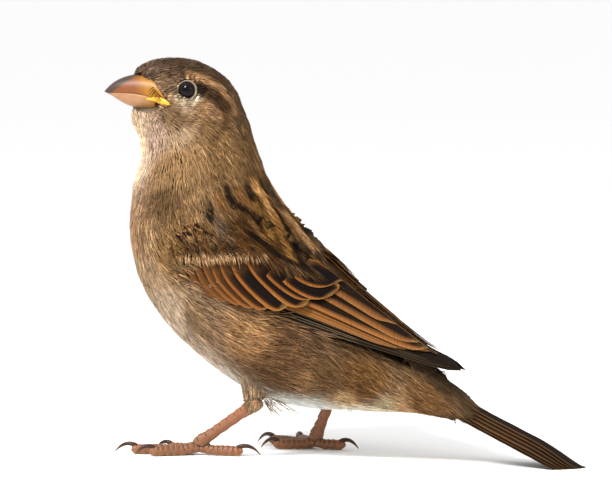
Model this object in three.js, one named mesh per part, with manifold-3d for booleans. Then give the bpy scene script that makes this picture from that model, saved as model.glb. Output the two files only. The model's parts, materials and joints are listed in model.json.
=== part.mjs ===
// A female house sparrow (Passer domesticus), life size, standing with her head turned to her own left
// and her tail tip on the ground.
// Millimetres, +Z up. While the bird is built it looks along -X, its left side is towards -Y, and the
// ground is z = 0 midway between the feet. The finished group is moved so that its origin is the
// middle of the bottom of its box.

import * as THREE from "three";
import { mergeVertices } from "three/addons/utils/BufferGeometryUtils.js";
import Module from "manifold-3d";

const wasm = await Module();
wasm.setup();

// Driving sizes.
const gap = 0.3; // between neighbouring pieces
const headTurn = THREE.MathUtils.degToRad(24); // about the upright axis of the neck
const neckAxis = -16.5; // x of that axis
const fleshSides = 20; // facets round the body
const eyeRadius = 2.3;
const eyePlace = new THREE.Vector3(-18, 5.9, 87.1); // on the straight head, right side
const wingTip = 56; // where the folded wing's edges meet
const wingThickness = 0.6; // of one layer of wing feathers
const layerStep = wingThickness + 1.4 * gap; // more than a gap, as the rows are ridged
const tailRoot = new THREE.Vector3(53.6, 0.4, 13.4);
const tailTip = new THREE.Vector3(83.4, 1.6, -0.2);
const tailFeathers = 6; // on each side
const tailRootHalf = 6.2;
const tailHalfWidth = 7.4; // at the tip
const tailLayers = 2.4; // how much lower the outermost feather lies than the middle one
const tailThickness = 2; // of the stacked feathers
const tailUnderside = -2.7; // of the outermost feather, from the tail's axis
const tarsusRadius = 1.4;
const toeRadius = 1.25;
const clawRadius = 0.72;

const colours = {
  crown: 0x5c4734,
  throat: 0xb09a80,
  breast: 0x957552,
  rump: 0x73522f,
  wingDark: 0x50351a,
  rufous: 0x6e461f,
  buff: 0xad8965,
  flight: 0x352f25,
  tail: 0x4c3a28,
  bill: 0xc0855f,
  billUnder: 0xe9b37b,
  eye: 0x150e0a,
  leg: 0xa8724d,
  claw: 0x5a4334,
};

// The coat's outline, from the base of the bill to the root of the tail. Each station is an upright
// oval through a top and an under point of the body's middle plane, half as wide as stated. level is
// how far down the oval its widest line runs, and turn the share of the head's turn it takes.
const stations = [
  { top: [-30.7, 92.4], under: [-31.9, 81.5], half: 3, level: 0.5, turn: 1 },
  { top: [-27.4, 94.2], under: [-31.8, 79.2], half: 3.8, level: 0.54, turn: 1 },
  { top: [-22.3, 95.0], under: [-30.7, 77.2], half: 5, level: 0.58, turn: 1 },
  { top: [-15.3, 94.0], under: [-29.8, 75.1], half: 7.6, level: 0.6, turn: 1 },
  { top: [-8.0, 89.2], under: [-29.6, 72.7], half: 10.2, level: 0.58, turn: 1 },
  { top: [-4.1, 81.7], under: [-29.6, 70.1], half: 11.5, level: 0.54, turn: 0.95 },
  { top: [-2.1, 74.6], under: [-30.6, 67.2], half: 13.4, level: 0.5, turn: 0.7 },
  { top: [0.2, 68.3], under: [-31.9, 61.6], half: 16.4, level: 0.5, turn: 0.35 },
  { top: [2.7, 63.3], under: [-31.8, 50.9], half: 19.3, level: 0.5, turn: 0.1 },
  { top: [6.3, 58.9], under: [-28.3, 39.3], half: 21, level: 0.5, turn: 0 },
  { top: [11.1, 54.0], under: [-20.8, 29.4], half: 21.6, level: 0.5, turn: 0 },
  { top: [16.6, 48.4], under: [-10.5, 21.1], half: 21, level: 0.5, turn: 0 },
  { top: [22.2, 41.2], under: [2.1, 13.8], half: 19, level: 0.5, turn: 0 },
  { top: [29.4, 33.2], under: [17.0, 11.2], half: 14.8, level: 0.5, turn: 0 },
  { top: [37.6, 26.5], under: [30.9, 11.2], half: 11, level: 0.5, turn: 0 },
  { top: [45.9, 20.8], under: [42.6, 11.3], half: 8.2, level: 0.5, turn: 0 },
  { top: [53.4, 16.5], under: [51.0, 10.0], half: 6.4, level: 0.5, turn: 0 },
];
// Stations where the body is parted, and how many rings each piece has.
const headEnd = 4.9;
const neckEnd = 7.2;
const trunkEnd = 13.4;
const partingStep = 0.07; // of a station, wide enough for the gap at the throat

// The wing's edges when folded: x with its height z and distance y from the middle plane.
const wingLowerEdge = [
  { x: -13, y: 15.3, z: 45.8 },
  { x: -8, y: 16.6, z: 42 },
  { x: 10, y: 17.6, z: 34.7 },
  { x: 30, y: 13.4, z: 28.8 },
  { x: 43, y: 6.2, z: 24.9 },
  { x: 56, y: 0.7, z: 20.4 },
];
const wingUpperEdge = [
  { x: -13, y: 15, z: 49.6 },
  { x: -3, y: 10.6, z: 57.6 },
  { x: 13, y: 3, z: 48.8 },
  { x: 30, y: 0.3, z: 36.6 },
  { x: 43, y: 0.3, z: 28 },
  { x: 56, y: 0.5, z: 21.2 },
];
const wingBulge = 4; // how far the wing's middle stands out past a flat sheet between the edges
const wingFlatten = 46; // length behind which that bulge fades towards the wing's tip

// Catmull-Rom blend of one value of a list, at a place counted in list steps.
function blend(list, place, valueOf) {
  const last = list.length - 1;
  const index = Math.min(Math.floor(place), last - 1);
  const f = place - index;
  const at = (k) => valueOf(list[THREE.MathUtils.clamp(k, 0, last)]);
  const [a, b, c, d] = [at(index - 1), at(index), at(index + 1), at(index + 2)];
  const slope = c - a;
  const bend = 2 * a - 5 * b + 4 * c - d;
  const twist = 3 * (b - c) + d - a;
  return b + 0.5 * f * (slope + f * (bend + f * twist));
}

// A closed skin over rings of equally many points. Its two ends are closed by fans, or on a thin
// plate, where the first half of a ring is one face and the second half the other, by strips.
function loft(rings, thin = false) {
  const sides = rings[0].length;
  const points = rings.flat();
  const faces = [];
  for (let i = 0; i + 1 < rings.length; i++) {
    for (let j = 0; j < sides; j++) {
      const a = i * sides + j;
      const b = i * sides + ((j + 1) % sides);
      faces.push(a, b, b + sides, a, b + sides, a + sides);
    }
  }
  for (const [first, isLast] of [[0, false], [(rings.length - 1) * sides, true]]) {
    const close = (a, b, c) => faces.push(...(isLast ? [a, b, c] : [a, c, b]));
    if (thin) {
      for (let j = 0; j + 1 < sides / 2; j++) {
        const [a, b, c, d] = [j, j + 1, sides - 2 - j, sides - 1 - j].map((k) => first + k);
        close(a, b, c);
        close(a, c, d);
      }
    } else {
      const middle = new THREE.Vector3();
      for (let j = 0; j < sides; j++) middle.addScaledVector(points[first + j], 1 / sides);
      points.push(middle);
      for (let j = 0; j < sides; j++) close(points.length - 1, first + j, first + ((j + 1) % sides));
    }
  }
  const geometry = new THREE.BufferGeometry().setFromPoints(points);
  geometry.setIndex(faces);
  return solid(geometry);
}

// The manifold solid of a closed geometry, with its faces turned out.
function solid(geometry) {
  const plain = geometry.clone();
  plain.deleteAttribute("normal");
  plain.deleteAttribute("uv");
  const merged = mergeVertices(plain, 1e-4);
  const vertProperties = new Float32Array(merged.attributes.position.array);
  const triVerts = new Uint32Array(merged.index.array);
  const made = new wasm.Manifold(new wasm.Mesh({ numProp: 3, vertProperties, triVerts }));
  if (made.volume() > 0) return made;
  for (let i = 0; i < triVerts.length; i += 3) {
    [triVerts[i], triVerts[i + 1]] = [triVerts[i + 1], triVerts[i]];
  }
  return new wasm.Manifold(new wasm.Mesh({ numProp: 3, vertProperties, triVerts }));
}

// What is left of a body after its neighbours are cut out: its largest piece, without crumbs.
function cutAway(body, tools) {
  const left = tools.reduce((rest, tool) => rest.subtract(tool), body).decompose();
  return left.reduce((best, piece) => (piece.volume() > best.volume() ? piece : best));
}

// Keeps what stands above the ground, which leaves flats on soles and feather tips.
function aboveGround(body) {
  const block = new THREE.BoxGeometry(400, 200, 100).translate(0, 0, -50);
  return body.subtract(solid(block));
}

// Turns a point of the straight bird with the head, by a share of the head's turn.
function turned(point, share) {
  const angle = headTurn * share;
  const x = point.x - neckAxis;
  return new THREE.Vector3(
    neckAxis + x * Math.cos(angle) - point.y * Math.sin(angle),
    x * Math.sin(angle) + point.y * Math.cos(angle),
    point.z,
  );
}

// One oval of the coat, at a place counted in stations.
function bodyRing(place) {
  const value = (of) => blend(stations, place, of);
  const top = new THREE.Vector3(value((s) => s.top[0]), 0, value((s) => s.top[1]));
  const under = new THREE.Vector3(value((s) => s.under[0]), 0, value((s) => s.under[1]));
  const level = value((s) => s.level);
  const half = value((s) => s.half);
  const turn = value((s) => s.turn);
  const heart = top.clone().lerp(under, level);
  const ring = [];
  for (let j = 0; j < fleshSides; j++) {
    const angle = (2 * Math.PI * j) / fleshSides;
    const end = Math.cos(angle) > 0 ? top : under;
    const point = heart.clone().lerp(end, Math.abs(Math.cos(angle)));
    point.y = half * Math.sin(angle);
    ring.push(turned(point, turn));
  }
  return ring;
}

function flesh(from, to, steps) {
  const rings = [];
  for (let i = 0; i <= steps; i++) rings.push(bodyRing(from + ((to - from) * i) / steps));
  return loft(rings);
}

// A round limb along a smooth path, thick as radii say at its path points, grown all round by grow.
function limb(path, radii, grow = 0, sides = 8, steps = 6) {
  const curve = new THREE.CatmullRomCurve3(path);
  const frames = curve.computeFrenetFrames(steps, false);
  const rings = [];
  for (let i = 0; i <= steps; i++) {
    const f = i / steps;
    const radius = blend(radii, f * (radii.length - 1), (r) => r) + grow;
    const middle = curve.getPointAt(f);
    if (i === 0) middle.addScaledVector(frames.tangents[0], -grow);
    if (i === steps) middle.addScaledVector(frames.tangents[steps], grow);
    const ring = [];
    for (let j = 0; j < sides; j++) {
      const angle = (2 * Math.PI * j) / sides;
      const point = middle.clone().addScaledVector(frames.normals[i], radius * Math.cos(angle));
      ring.push(point.addScaledVector(frames.binormals[i], radius * Math.sin(angle)));
    }
    rings.push(ring);
  }
  return loft(rings);
}

const between = (from, to, f) => from.map((value, k) => value + (to[k] - value) * f);

// A row of feathers as one thin plate with a notch between each two tips. The chart maps (a, b, lift)
// to a point, lift being the height over the chart's own sheet. The row runs from its first feather,
// at roots[0] and tips[0], to its last. sag moves the row's middle tips down in b, bow the first
// feather's middle, and ridge raises the middle of each feather.
const notch = 1.3; // depth between two tips
const acrossFeather = [[0, notch, 0], [0.28, 0, 1], [0.72, 0, 1]]; // place, length it lacks, rise

function sheet(chart, shape) {
  const { feathers, roots, tips, lift, thick = wingThickness, sag = 0, bow = 0, ridge = 0.12 } = shape;
  const columns = [];
  for (let i = 0; i < feathers; i++) {
    for (const [f, lack, rise] of acrossFeather) columns.push([(i + f) / feathers, lack, rise]);
  }
  columns.push([1, notch, 0]);
  const rows = 4;
  const outer = columns.map(([f, lack, rise]) => {
    const root = between(...roots, f);
    const tip = between(...tips, f);
    tip[1] -= sag * 4 * f * (1 - f);
    const reach = 1 - lack / Math.hypot(tip[0] - root[0], tip[1] - root[1]);
    const line = [];
    for (let k = 0; k <= rows; k++) {
      const along = (reach * k) / rows;
      const [a, b] = between(root, tip, along);
      line.push([a, b - bow * (1 - f) * 6.75 * along * (1 - along) ** 2, lift + rise * ridge]);
    }
    return line;
  });
  return loft(
    outer.map((line) => [
      ...line.map(([a, b, height]) => chart(a, b, height)),
      ...line.map(([a, b, height]) => chart(a, b, height + thick)).reverse(),
    ]),
    true,
  );
}


// Head, with its bill and eyes.

const upperBill = [
  { edge: [-38.3, 86.75], cut: [-38.25, 86.55], half: 0.12 },
  { edge: [-37.3, 87.95], cut: [-37.2, 86.45], half: 0.8 },
  { edge: [-35.9, 89.15], cut: [-35.5, 86.4], half: 1.75 },
  { edge: [-34.2, 90.05], cut: [-33.4, 86.35], half: 2.7 },
  { edge: [-32.2, 90.7], cut: [-31.0, 86.2], half: 3.6 },
  { edge: [-30.2, 91.1], cut: [-28.3, 85.8], half: 4.5 },
  { edge: [-28.6, 91.2], cut: [-25.8, 85.1], half: 5.4 },
  { edge: [-27.4, 91.0], cut: [-22.8, 84.1], half: 6.6 },
];
const lowerBill = [
  { edge: [-37.85, 86.35], cut: [-37.9, 86.5], half: 0.12 },
  { edge: [-36.7, 85.75], cut: [-37.0, 86.45], half: 0.8 },
  { edge: [-35.1, 84.65], cut: [-35.5, 86.4], half: 1.7 },
  { edge: [-33.5, 83.6], cut: [-33.5, 86.35], half: 2.6 },
  { edge: [-31.8, 82.9], cut: [-31.3, 86.2], half: 3.5 },
  { edge: [-29.3, 82.5], cut: [-28.6, 85.8], half: 4.5 },
  { edge: [-26.1, 82.1], cut: [-25.7, 85.1], half: 5.4 },
];
const billArc = 8; // facets round each half of the bill

// One half of the bill: arches from the line where the halves meet out to the ridge or the keel.
function billHalf(rings, grow) {
  return loft(
    rings.map(({ edge, cut, half }, index) => {
      const rise = new THREE.Vector2(edge[0] - cut[0], edge[1] - cut[1]);
      const length = rise.length();
      rise.normalize();
      const back = index === rings.length - 1 ? grow : 0;
      const ring = [];
      for (let j = 0; j <= billArc; j++) {
        const angle = (Math.PI * j) / billArc;
        const height = gap / 2 - grow + (length - gap / 2 + 2 * grow) * Math.sin(angle);
        const y = (half + grow) * Math.cos(angle);
        const x = cut[0] + rise.x * height + back;
        ring.push(turned(new THREE.Vector3(x, y, cut[1] + rise.y * height), 1));
      }
      return ring;
    }),
  );
}

function eyeBall(side, grow) {
  const ball = new THREE.SphereGeometry(eyeRadius + grow, 12, 8);
  const centre = turned(new THREE.Vector3(eyePlace.x, side * eyePlace.y, eyePlace.z), 1);
  return solid(ball.translate(centre.x, centre.y, centre.z));
}

// Wings. The chart is the side view: a is x, b is z, and lift stands out sideways from the wing's
// lowest layer.
function edgeAt(edge, x, key) {
  const place = edge.findIndex((point) => point.x > x);
  const index = place < 0 ? edge.length - 2 : Math.max(place - 1, 0);
  const f = (x - edge[index].x) / (edge[index + 1].x - edge[index].x);
  return blend(edge, index + f, (point) => point[key]);
}

const wingFade = (x) => THREE.MathUtils.smoothstep(wingTip - x, 0, wingFlatten);

function wingSheet(x, z) {
  const lowZ = edgeAt(wingLowerEdge, x, "z");
  const highZ = edgeAt(wingUpperEdge, x, "z");
  const v = THREE.MathUtils.clamp((z - lowZ) / Math.max(highZ - lowZ, 1.5), -0.2, 1.2);
  const flat = edgeAt(wingLowerEdge, x, "y") * (1 - v) + edgeAt(wingUpperEdge, x, "y") * v;
  return flat + wingBulge * wingFade(x) * 4 * v * (1 - v);
}

// Lift runs square to the sheet, but leans no further up than wingLean allows, and not at all at the
// wing's tip.
const wingLean = 0.6;

function wingChart(side) {
  return (x, z, lift) => {
    const slope = (wingSheet(x, z + 1) - wingSheet(x, z - 1)) / 2;
    const lean = THREE.MathUtils.clamp(-slope, -wingLean, wingLean) * wingFade(x);
    const out = new THREE.Vector3(0, 1, lean).setLength(lift);
    return new THREE.Vector3(x, side * (wingSheet(x, z) + out.y), z + out.z);
  };
}

// The rows of feathers, each with its layer over the innermost one.
const wingTracts = {
  primaries: { layer: 0, colour: colours.flight, feathers: 4, bow: 2.3,
    roots: [[-6, 42.4], [6, 45]], tips: [[54.4, 21.1], [46.4, 25.2]] },
  secondaries: { layer: 1, colour: colours.rufous, feathers: 4, bow: 2,
    roots: [[-5, 43.3], [9, 47]], tips: [[40.5, 27.4], [47, 26.6]] },
  tertials: { layer: 2, colour: colours.wingDark, feathers: 3, bow: 0,
    roots: [[9, 42], [12, 48.4]], tips: [[45.2, 27.6], [37.5, 31.9]] },
  greater_coverts: { layer: 3, colour: colours.rufous, feathers: 6, bow: 0, sag: 1.6,
    roots: [[-11, 46.2], [12, 48]], tips: [[-4.5, 41], [26, 38.2]] },
  shoulder: { layer: 4, colour: colours.buff, feathers: 5, bow: 0, sag: -2.6,
    roots: [[-12.3, 48], [-2.8, 57.2]], tips: [[-6, 45], [26, 38.6]] },
};

function wingTract(side, tract) {
  return sheet(wingChart(side), { ...tract, lift: tract.layer * layerStep });
}

// The hollow in the body's side that the folded wing lies in.
function wingBed(side) {
  const chart = wingChart(side);
  const deep = -gap;
  const wide = 14;
  const rings = [];
  for (const x of [-12, -8, -3, 3, 10, 18, 26, 34, 42, 50, 56]) {
    const low = edgeAt(wingLowerEdge, x, "z");
    const high = edgeAt(wingUpperEdge, x, "z");
    const levels = [low, low * 0.6 + high * 0.4, low * 0.2 + high * 0.8, high];
    const inner = levels.map((z) => chart(x, z, deep));
    const outer = levels.map((z) => chart(x, z, wide));
    for (const row of [inner, outer]) {
      row[0].z -= 2 * gap;
      row[3].z += 2 * gap;
    }
    rings.push([...inner, ...outer.reverse()]);
  }
  return loft(rings, true);
}

// Tail. The chart's a runs from the root to the tip in millimetres and b across it to the bird's
// right, and lift stands on its upper face.
const tailAxis = tailTip.clone().sub(tailRoot).normalize();
const tailAcross = new THREE.Vector3(0, 0, 1).cross(tailAxis).normalize();
const tailNormal = tailAxis.clone().cross(tailAcross);

function tailChart(a, b, lift) {
  return tailRoot.clone()
    .addScaledVector(tailAxis, a)
    .addScaledVector(tailAcross, b)
    .addScaledVector(tailNormal, lift);
}

// The outermost feather is the lowest and the shortest, and the middle pair the highest.
function tailHalf(side) {
  const length = tailRoot.distanceTo(tailTip);
  const inner = gap / 2;
  const chart = (a, b, lift) => {
    const f = 1 - Math.abs(b) / tailHalfWidth;
    return tailChart(a, side * b, lift + tailLayers * f);
  };
  const half = sheet(chart, {
    feathers: tailFeathers, lift: tailUnderside, thick: tailThickness, ridge: 0,
    roots: [[0, tailRootHalf], [0, inner]], tips: [[length - 4.6, tailHalfWidth], [length + 0.6, inner]],
  });
  return aboveGround(half);
}

// Legs. Toe 1 points back, toes 2 to 4 forward from the inner to the outer one.
const legs = {
  left: {
    hip: [4, -10.6, 23], cuff: [3.7, -11.1, 13.4], thighRadii: [4.1, 3.1, 2.3],
    heel: [4.9, -11.2, 13.3], ankle: [-10.2, -11.3, 3],
    toes: [
      { pad: [-0.6, -9.8], tip: [4.9, -8.7] },
      { pad: [-18.9, -8.6], tip: [-23.2, -8.4] },
      { pad: [-25.0, -15.6], tip: [-30.2, -16.6] },
      { pad: [-18.9, -18.2], tip: [-22.9, -20.3] },
    ],
  },
  right: {
    hip: [20.5, 9.4, 22], cuff: [14.6, 10.7, 12.6], thighRadii: [4.4, 3.2, 2.1],
    heel: [16.8, 10.5, 17.6], ankle: [10.2, 11.4, 2.9],
    toes: [
      { pad: [16.6, 12.2], tip: [21, 12.9] },
      { pad: [2, 7.6], tip: [-2, 6.4] },
      { pad: [-3.2, 16.2], tip: [-8.2, 18.2] },
      { pad: [2.6, 20], tip: [-0.4, 23.4] },
    ],
  },
};
const legPoint = (place) => new THREE.Vector3(...place);

function tarsus(leg, grow) {
  const ankle = legPoint(leg.ankle);
  const heel = legPoint(leg.heel);
  const path = [0, 0.14, 0.5, 0.86, 1].map((f) => ankle.clone().lerp(heel, f));
  const radii = [1.75, 1.4, 1, 1.12, 1.3].map((share) => share * tarsusRadius);
  return aboveGround(limb(path, radii, grow, 8, 6));
}

function thigh(leg, grow) {
  const hip = legPoint(leg.hip);
  const cuff = legPoint(leg.cuff);
  const path = [0, 0.5, 1].map((f) => hip.clone().lerp(cuff, f));
  return limb(path, leg.thighRadii, grow, 10, 4);
}

function toe(leg, { pad, tip }, grow) {
  const height = toeRadius * 0.86;
  const ankle = new THREE.Vector3(leg.ankle[0], leg.ankle[1], height);
  const end = new THREE.Vector3(...pad, height);
  const path = [ankle, ankle.clone().lerp(end, 0.35).setZ(height + 0.4), ankle.clone().lerp(end, 0.7), end];
  const radii = [1.25, 1, 1.05, 0.95, 1.05, 0.66].map((share) => share * toeRadius);
  const made = limb(path, radii, grow, 7, 5);
  return grow > 0 ? made : aboveGround(made);
}

function claw({ pad, tip }, grow) {
  const root = new THREE.Vector3(...pad, 1.45 * toeRadius);
  const point = new THREE.Vector3(...tip, 0.35);
  const path = [
    root.clone().lerp(point, -0.12).setZ(root.z),
    root.clone().lerp(point, 0.3).setZ(root.z + 0.9),
    root.clone().lerp(point, 0.72).setZ(root.z + 0.1),
    point,
  ];
  return aboveGround(limb(path, [1, 0.95, 0.6, 0.14].map((share) => share * clawRadius), grow, 6, 4));
}

// The assembly.
const bird = new THREE.Group();

function show(name, body, colour, roughness = 0.85) {
  const made = body.getMesh();
  const geometry = new THREE.BufferGeometry();
  geometry.setAttribute("position", new THREE.BufferAttribute(new Float32Array(made.vertProperties), 3));
  geometry.setIndex(new THREE.BufferAttribute(new Uint32Array(made.triVerts), 1));
  geometry.computeVertexNormals();
  const material = new THREE.MeshStandardMaterial({ color: colour, roughness, metalness: 0 });
  const mesh = new THREE.Mesh(geometry, material);
  mesh.name = name;
  bird.add(mesh);
}

const sides = { left: -1, right: 1 };

function showHead() {
  const bill = [billHalf(upperBill, gap), billHalf(lowerBill, gap)];
  const sockets = Object.values(sides).map((side) => eyeBall(side, gap));
  show("head", cutAway(flesh(0, headEnd, 10), [...bill, ...sockets]), colours.crown);
  show("bill_upper", billHalf(upperBill, 0), colours.bill, 0.4);
  show("bill_lower", billHalf(lowerBill, 0), colours.billUnder, 0.4);
  for (const [name, side] of Object.entries(sides)) show("eye_" + name, eyeBall(side, 0), colours.eye, 0.05);
}

function showBody() {
  const beds = Object.values(sides).map((side) => wingBed(side));
  const limbs = Object.values(legs).flatMap((leg) => [thigh(leg, gap), tarsus(leg, gap)]);
  const cuts = [...beds, ...limbs];
  show("neck", cutAway(flesh(headEnd + partingStep, neckEnd, 5), beds), colours.throat);
  show("trunk", cutAway(flesh(neckEnd + partingStep, trunkEnd, 12), cuts), colours.breast);
  show("rump", cutAway(flesh(trunkEnd + partingStep, stations.length - 1, 6), beds), colours.rump);
}

function showWings() {
  for (const [name, side] of Object.entries(sides)) {
    for (const [tract, shape] of Object.entries(wingTracts)) {
      show("wing_" + name + "_" + tract, wingTract(side, shape), shape.colour);
    }
  }
}

function showTail() {
  for (const [name, side] of Object.entries(sides)) show("tail_" + name, tailHalf(side), colours.tail);
}

function showLegs() {
  for (const [name, leg] of Object.entries(legs)) {
    show("thigh_" + name, cutAway(thigh(leg, 0), [tarsus(leg, gap)]), colours.rump);
    show("tarsus_" + name, tarsus(leg, 0), colours.leg, 0.6);
    const taken = [tarsus(leg, gap)];
    leg.toes.forEach((shape, index) => {
      const made = cutAway(toe(leg, shape, 0), [...taken, claw(shape, gap)]);
      show(`toe_${name}_${index + 1}`, made, colours.leg, 0.6);
      show(`claw_${name}_${index + 1}`, claw(shape, 0), colours.claw, 0.4);
      taken.push(toe(leg, shape, gap));
    });
  }
}

showHead();
showBody();
showWings();
showTail();
showLegs();

// The origin goes to the middle of the bottom of the bird's box.
const box = new THREE.Box3().setFromObject(bird);
const middle = box.getCenter(new THREE.Vector3());
for (const mesh of bird.children) mesh.position.set(-middle.x, -middle.y, -box.min.z);

export default bird;
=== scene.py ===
# A female house sparrow, life size and still: a skin under a coat of feathers, folded wings, tail,
# bill, eyes, legs and claws. A place on the bird is given in millimetres, with the bird looking along
# -X, its left side towards -Y and its zero on the ground midway between the feet.
import json
import math
import bpy
import numpy as np
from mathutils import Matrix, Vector
from mathutils.bvhtree import BVHTree

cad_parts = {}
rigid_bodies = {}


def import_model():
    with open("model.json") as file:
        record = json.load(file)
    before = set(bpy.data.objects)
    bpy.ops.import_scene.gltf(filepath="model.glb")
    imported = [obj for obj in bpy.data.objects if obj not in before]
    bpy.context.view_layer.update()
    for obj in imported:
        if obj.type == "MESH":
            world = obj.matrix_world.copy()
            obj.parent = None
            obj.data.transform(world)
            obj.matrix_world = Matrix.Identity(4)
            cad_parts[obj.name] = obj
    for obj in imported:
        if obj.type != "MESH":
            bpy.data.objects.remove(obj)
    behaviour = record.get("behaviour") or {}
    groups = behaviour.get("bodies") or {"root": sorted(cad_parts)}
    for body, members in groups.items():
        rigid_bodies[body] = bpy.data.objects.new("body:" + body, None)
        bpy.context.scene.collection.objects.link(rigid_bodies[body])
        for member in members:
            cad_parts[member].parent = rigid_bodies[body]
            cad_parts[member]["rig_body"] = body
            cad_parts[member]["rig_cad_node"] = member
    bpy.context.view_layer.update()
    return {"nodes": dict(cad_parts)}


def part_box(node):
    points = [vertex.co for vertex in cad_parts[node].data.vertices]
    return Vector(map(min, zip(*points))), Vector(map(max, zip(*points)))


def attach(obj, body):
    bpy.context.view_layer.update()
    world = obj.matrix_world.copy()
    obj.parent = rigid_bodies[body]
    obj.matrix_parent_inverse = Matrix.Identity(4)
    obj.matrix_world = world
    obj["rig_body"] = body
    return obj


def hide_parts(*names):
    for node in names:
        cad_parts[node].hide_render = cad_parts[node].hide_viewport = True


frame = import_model()
dice = np.random.default_rng(7)
mm = 0.001
fleshNodes = ["head", "neck", "trunk", "rump", "thigh_left", "thigh_right"]
wingRows = ["primaries", "secondaries", "tertials", "greater_coverts", "shoulder"]
sides = {"left": -1, "right": 1}

# The head turns about the neck's upright axis, and the neck takes a share of that turn by height.
neck = {
    "turn": math.radians(24),
    "axis": -16.5,
    "front": -31,  # where the levels are measured
    "slant": 0.23,  # how fast a level of equal turn climbs towards the back
    "levels": [39, 51, 61.4, 67.5, 70.5, 74],
    "shares": [0, 0.1, 0.35, 0.7, 0.95, 1],
}
eye = {"place": (-18, 5.9, 87.1), "radius": 2.3, "look": (-0.28, 0.96, 0.06)}


def turnBy(points, angle):
    x = points[:, 0] - neck["axis"]
    y = points[:, 1]
    c, s = np.cos(angle), np.sin(angle)
    return np.column_stack([neck["axis"] + x * c - y * s, x * s + y * c, points[:, 2]])


def turnAngle(points):
    level = points[:, 2] - neck["slant"] * (points[:, 0] - neck["front"])
    return neck["turn"] * np.interp(level, neck["levels"], neck["shares"])


# The frame's origin is the middle of the box, so the feet's place is read off the left eye.
eyeLow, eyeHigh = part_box("eye_left")
straightEye = np.array([[eye["place"][0], -eye["place"][1], eye["place"][2]]], float)
feetX = (eyeLow.x + eyeHigh.x) / 2 / mm - turnBy(straightEye, neck["turn"])[0, 0]


def onBird(points):  # frame metres to the bird's millimetres
    return np.asarray(points, float) / mm - [feetX, 0, 0]


def inFrame(points):  # and back
    return (np.asarray(points, float) + [feetX, 0, 0]) * mm


def straight(points):  # the bird's millimetres with the head looking ahead
    return turnBy(points, -turnAngle(points))


def onHead(places):  # a place on the straight head, in the frame
    return inFrame(turnBy(np.asarray(places, float).reshape(-1, 3), neck["turn"]))


def unit(vectors):
    return vectors / np.maximum(np.linalg.norm(vectors, axis=-1, keepdims=True), 1e-9)


def laidOn(outs, ways):  # the ways along a surface that faces outs
    return unit(ways - (ways * outs).sum(axis=1, keepdims=True) * outs)


def smooth(value, low, high):
    f = np.clip((value - low) / (high - low), 0, 1)
    return f * f * (3 - 2 * f)


def mix(a, b, f):
    f = np.asarray(f)[..., None]
    return np.asarray(a) * (1 - f) + np.asarray(b) * f


def linear(hexColour):  # sRGB hex to linear
    values = np.array([int(hexColour[i:i + 2], 16) / 255 for i in (0, 2, 4)])
    return np.where(values <= 0.04045, values / 12.92, ((values + 0.055) / 1.055) ** 2.4)


def selectOnly(piece):
    bpy.ops.object.select_all(action="DESELECT")
    piece.select_set(True)
    bpy.context.view_layer.objects.active = piece


def editAll(piece, operator, **settings):  # one edit mode operator on the whole mesh
    selectOnly(piece)
    bpy.ops.object.mode_set(mode="EDIT")
    bpy.ops.mesh.select_all(action="SELECT")
    operator(**settings)
    bpy.ops.object.mode_set(mode="OBJECT")


def outwards(piece):  # each closed shell's faces point out
    editAll(piece, bpy.ops.mesh.normals_make_consistent, inside=False)


def intoQuads(piece, degrees):
    widest = math.radians(degrees)
    editAll(piece, bpy.ops.mesh.tris_convert_to_quads, face_threshold=widest, shape_threshold=widest)


def applyModifier(piece, kind, **settings):
    selectOnly(piece)
    modifier = piece.modifiers.new(kind.title(), kind)
    for key, value in settings.items():
        setattr(modifier, key, value)
    bpy.ops.object.modifier_apply(modifier=modifier.name)


def copyOf(nodes, name):
    copies = []
    for node in nodes:
        piece = frame["nodes"][node].copy()
        piece.data = piece.data.copy()
        piece.parent = None
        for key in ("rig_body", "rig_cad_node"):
            del piece[key]
        bpy.context.scene.collection.objects.link(piece)
        copies.append(piece)
    selectOnly(copies[0])
    for piece in copies:
        piece.select_set(True)
    if len(copies) > 1:
        bpy.ops.object.join()
    made = bpy.context.view_layer.objects.active
    made.name = name
    made.data.name = name
    made.data.materials.clear()
    editAll(made, bpy.ops.mesh.remove_doubles, threshold=0.01 * mm)
    return made


def meshFrom(name, points, corners, sizes, colours=None):
    # Corners are the vertex numbers of all faces in one row, and sizes the number of corners of each face.
    mesh = bpy.data.meshes.new(name)
    mesh.vertices.add(len(points))
    mesh.vertices.foreach_set("co", np.asarray(points, np.float32).ravel())
    mesh.loops.add(len(corners))
    mesh.loops.foreach_set("vertex_index", np.asarray(corners, np.int32))
    mesh.polygons.add(len(sizes))
    starts = np.concatenate([[0], np.cumsum(sizes)[:-1]])
    mesh.polygons.foreach_set("loop_start", starts.astype(np.int32))
    mesh.update(calc_edges=True)
    if colours is not None:
        paint(mesh, colours)
    piece = bpy.data.objects.new(name, mesh)
    bpy.context.scene.collection.objects.link(piece)
    return piece


def paint(mesh, colours):
    layer = mesh.color_attributes.new("Plumage", "FLOAT_COLOR", "POINT")
    values = np.ones((len(mesh.vertices), 4), np.float32)
    values[:, :3] = colours
    layer.data.foreach_set("color", values.ravel())


def addMap(piece, name, places):  # a UV map, with a place for each corner
    layer = piece.data.uv_layers.new(name=name)
    layer.data.foreach_set("uv", places.astype(np.float32).ravel())


def vertexPlaces(piece):
    places = np.empty(len(piece.data.vertices) * 3)
    piece.data.vertices.foreach_get("co", places)
    return places.reshape(-1, 3)


def vertexNormals(piece):
    normals = np.empty(len(piece.data.vertices) * 3, np.float32)
    piece.data.vertex_normals.foreach_get("vector", normals)
    return normals.reshape(-1, 3).astype(float)


def moveVertices(piece, places):
    piece.data.vertices.foreach_set("co", places.ravel())
    piece.data.update()


def finishPiece(piece, material, slot, *nodes):
    piece.data.polygons.foreach_set("use_smooth", np.ones(len(piece.data.polygons), bool))
    piece.data.materials.append(material)
    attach(piece, "root")
    if nodes:
        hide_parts(*nodes)
    return piece


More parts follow.
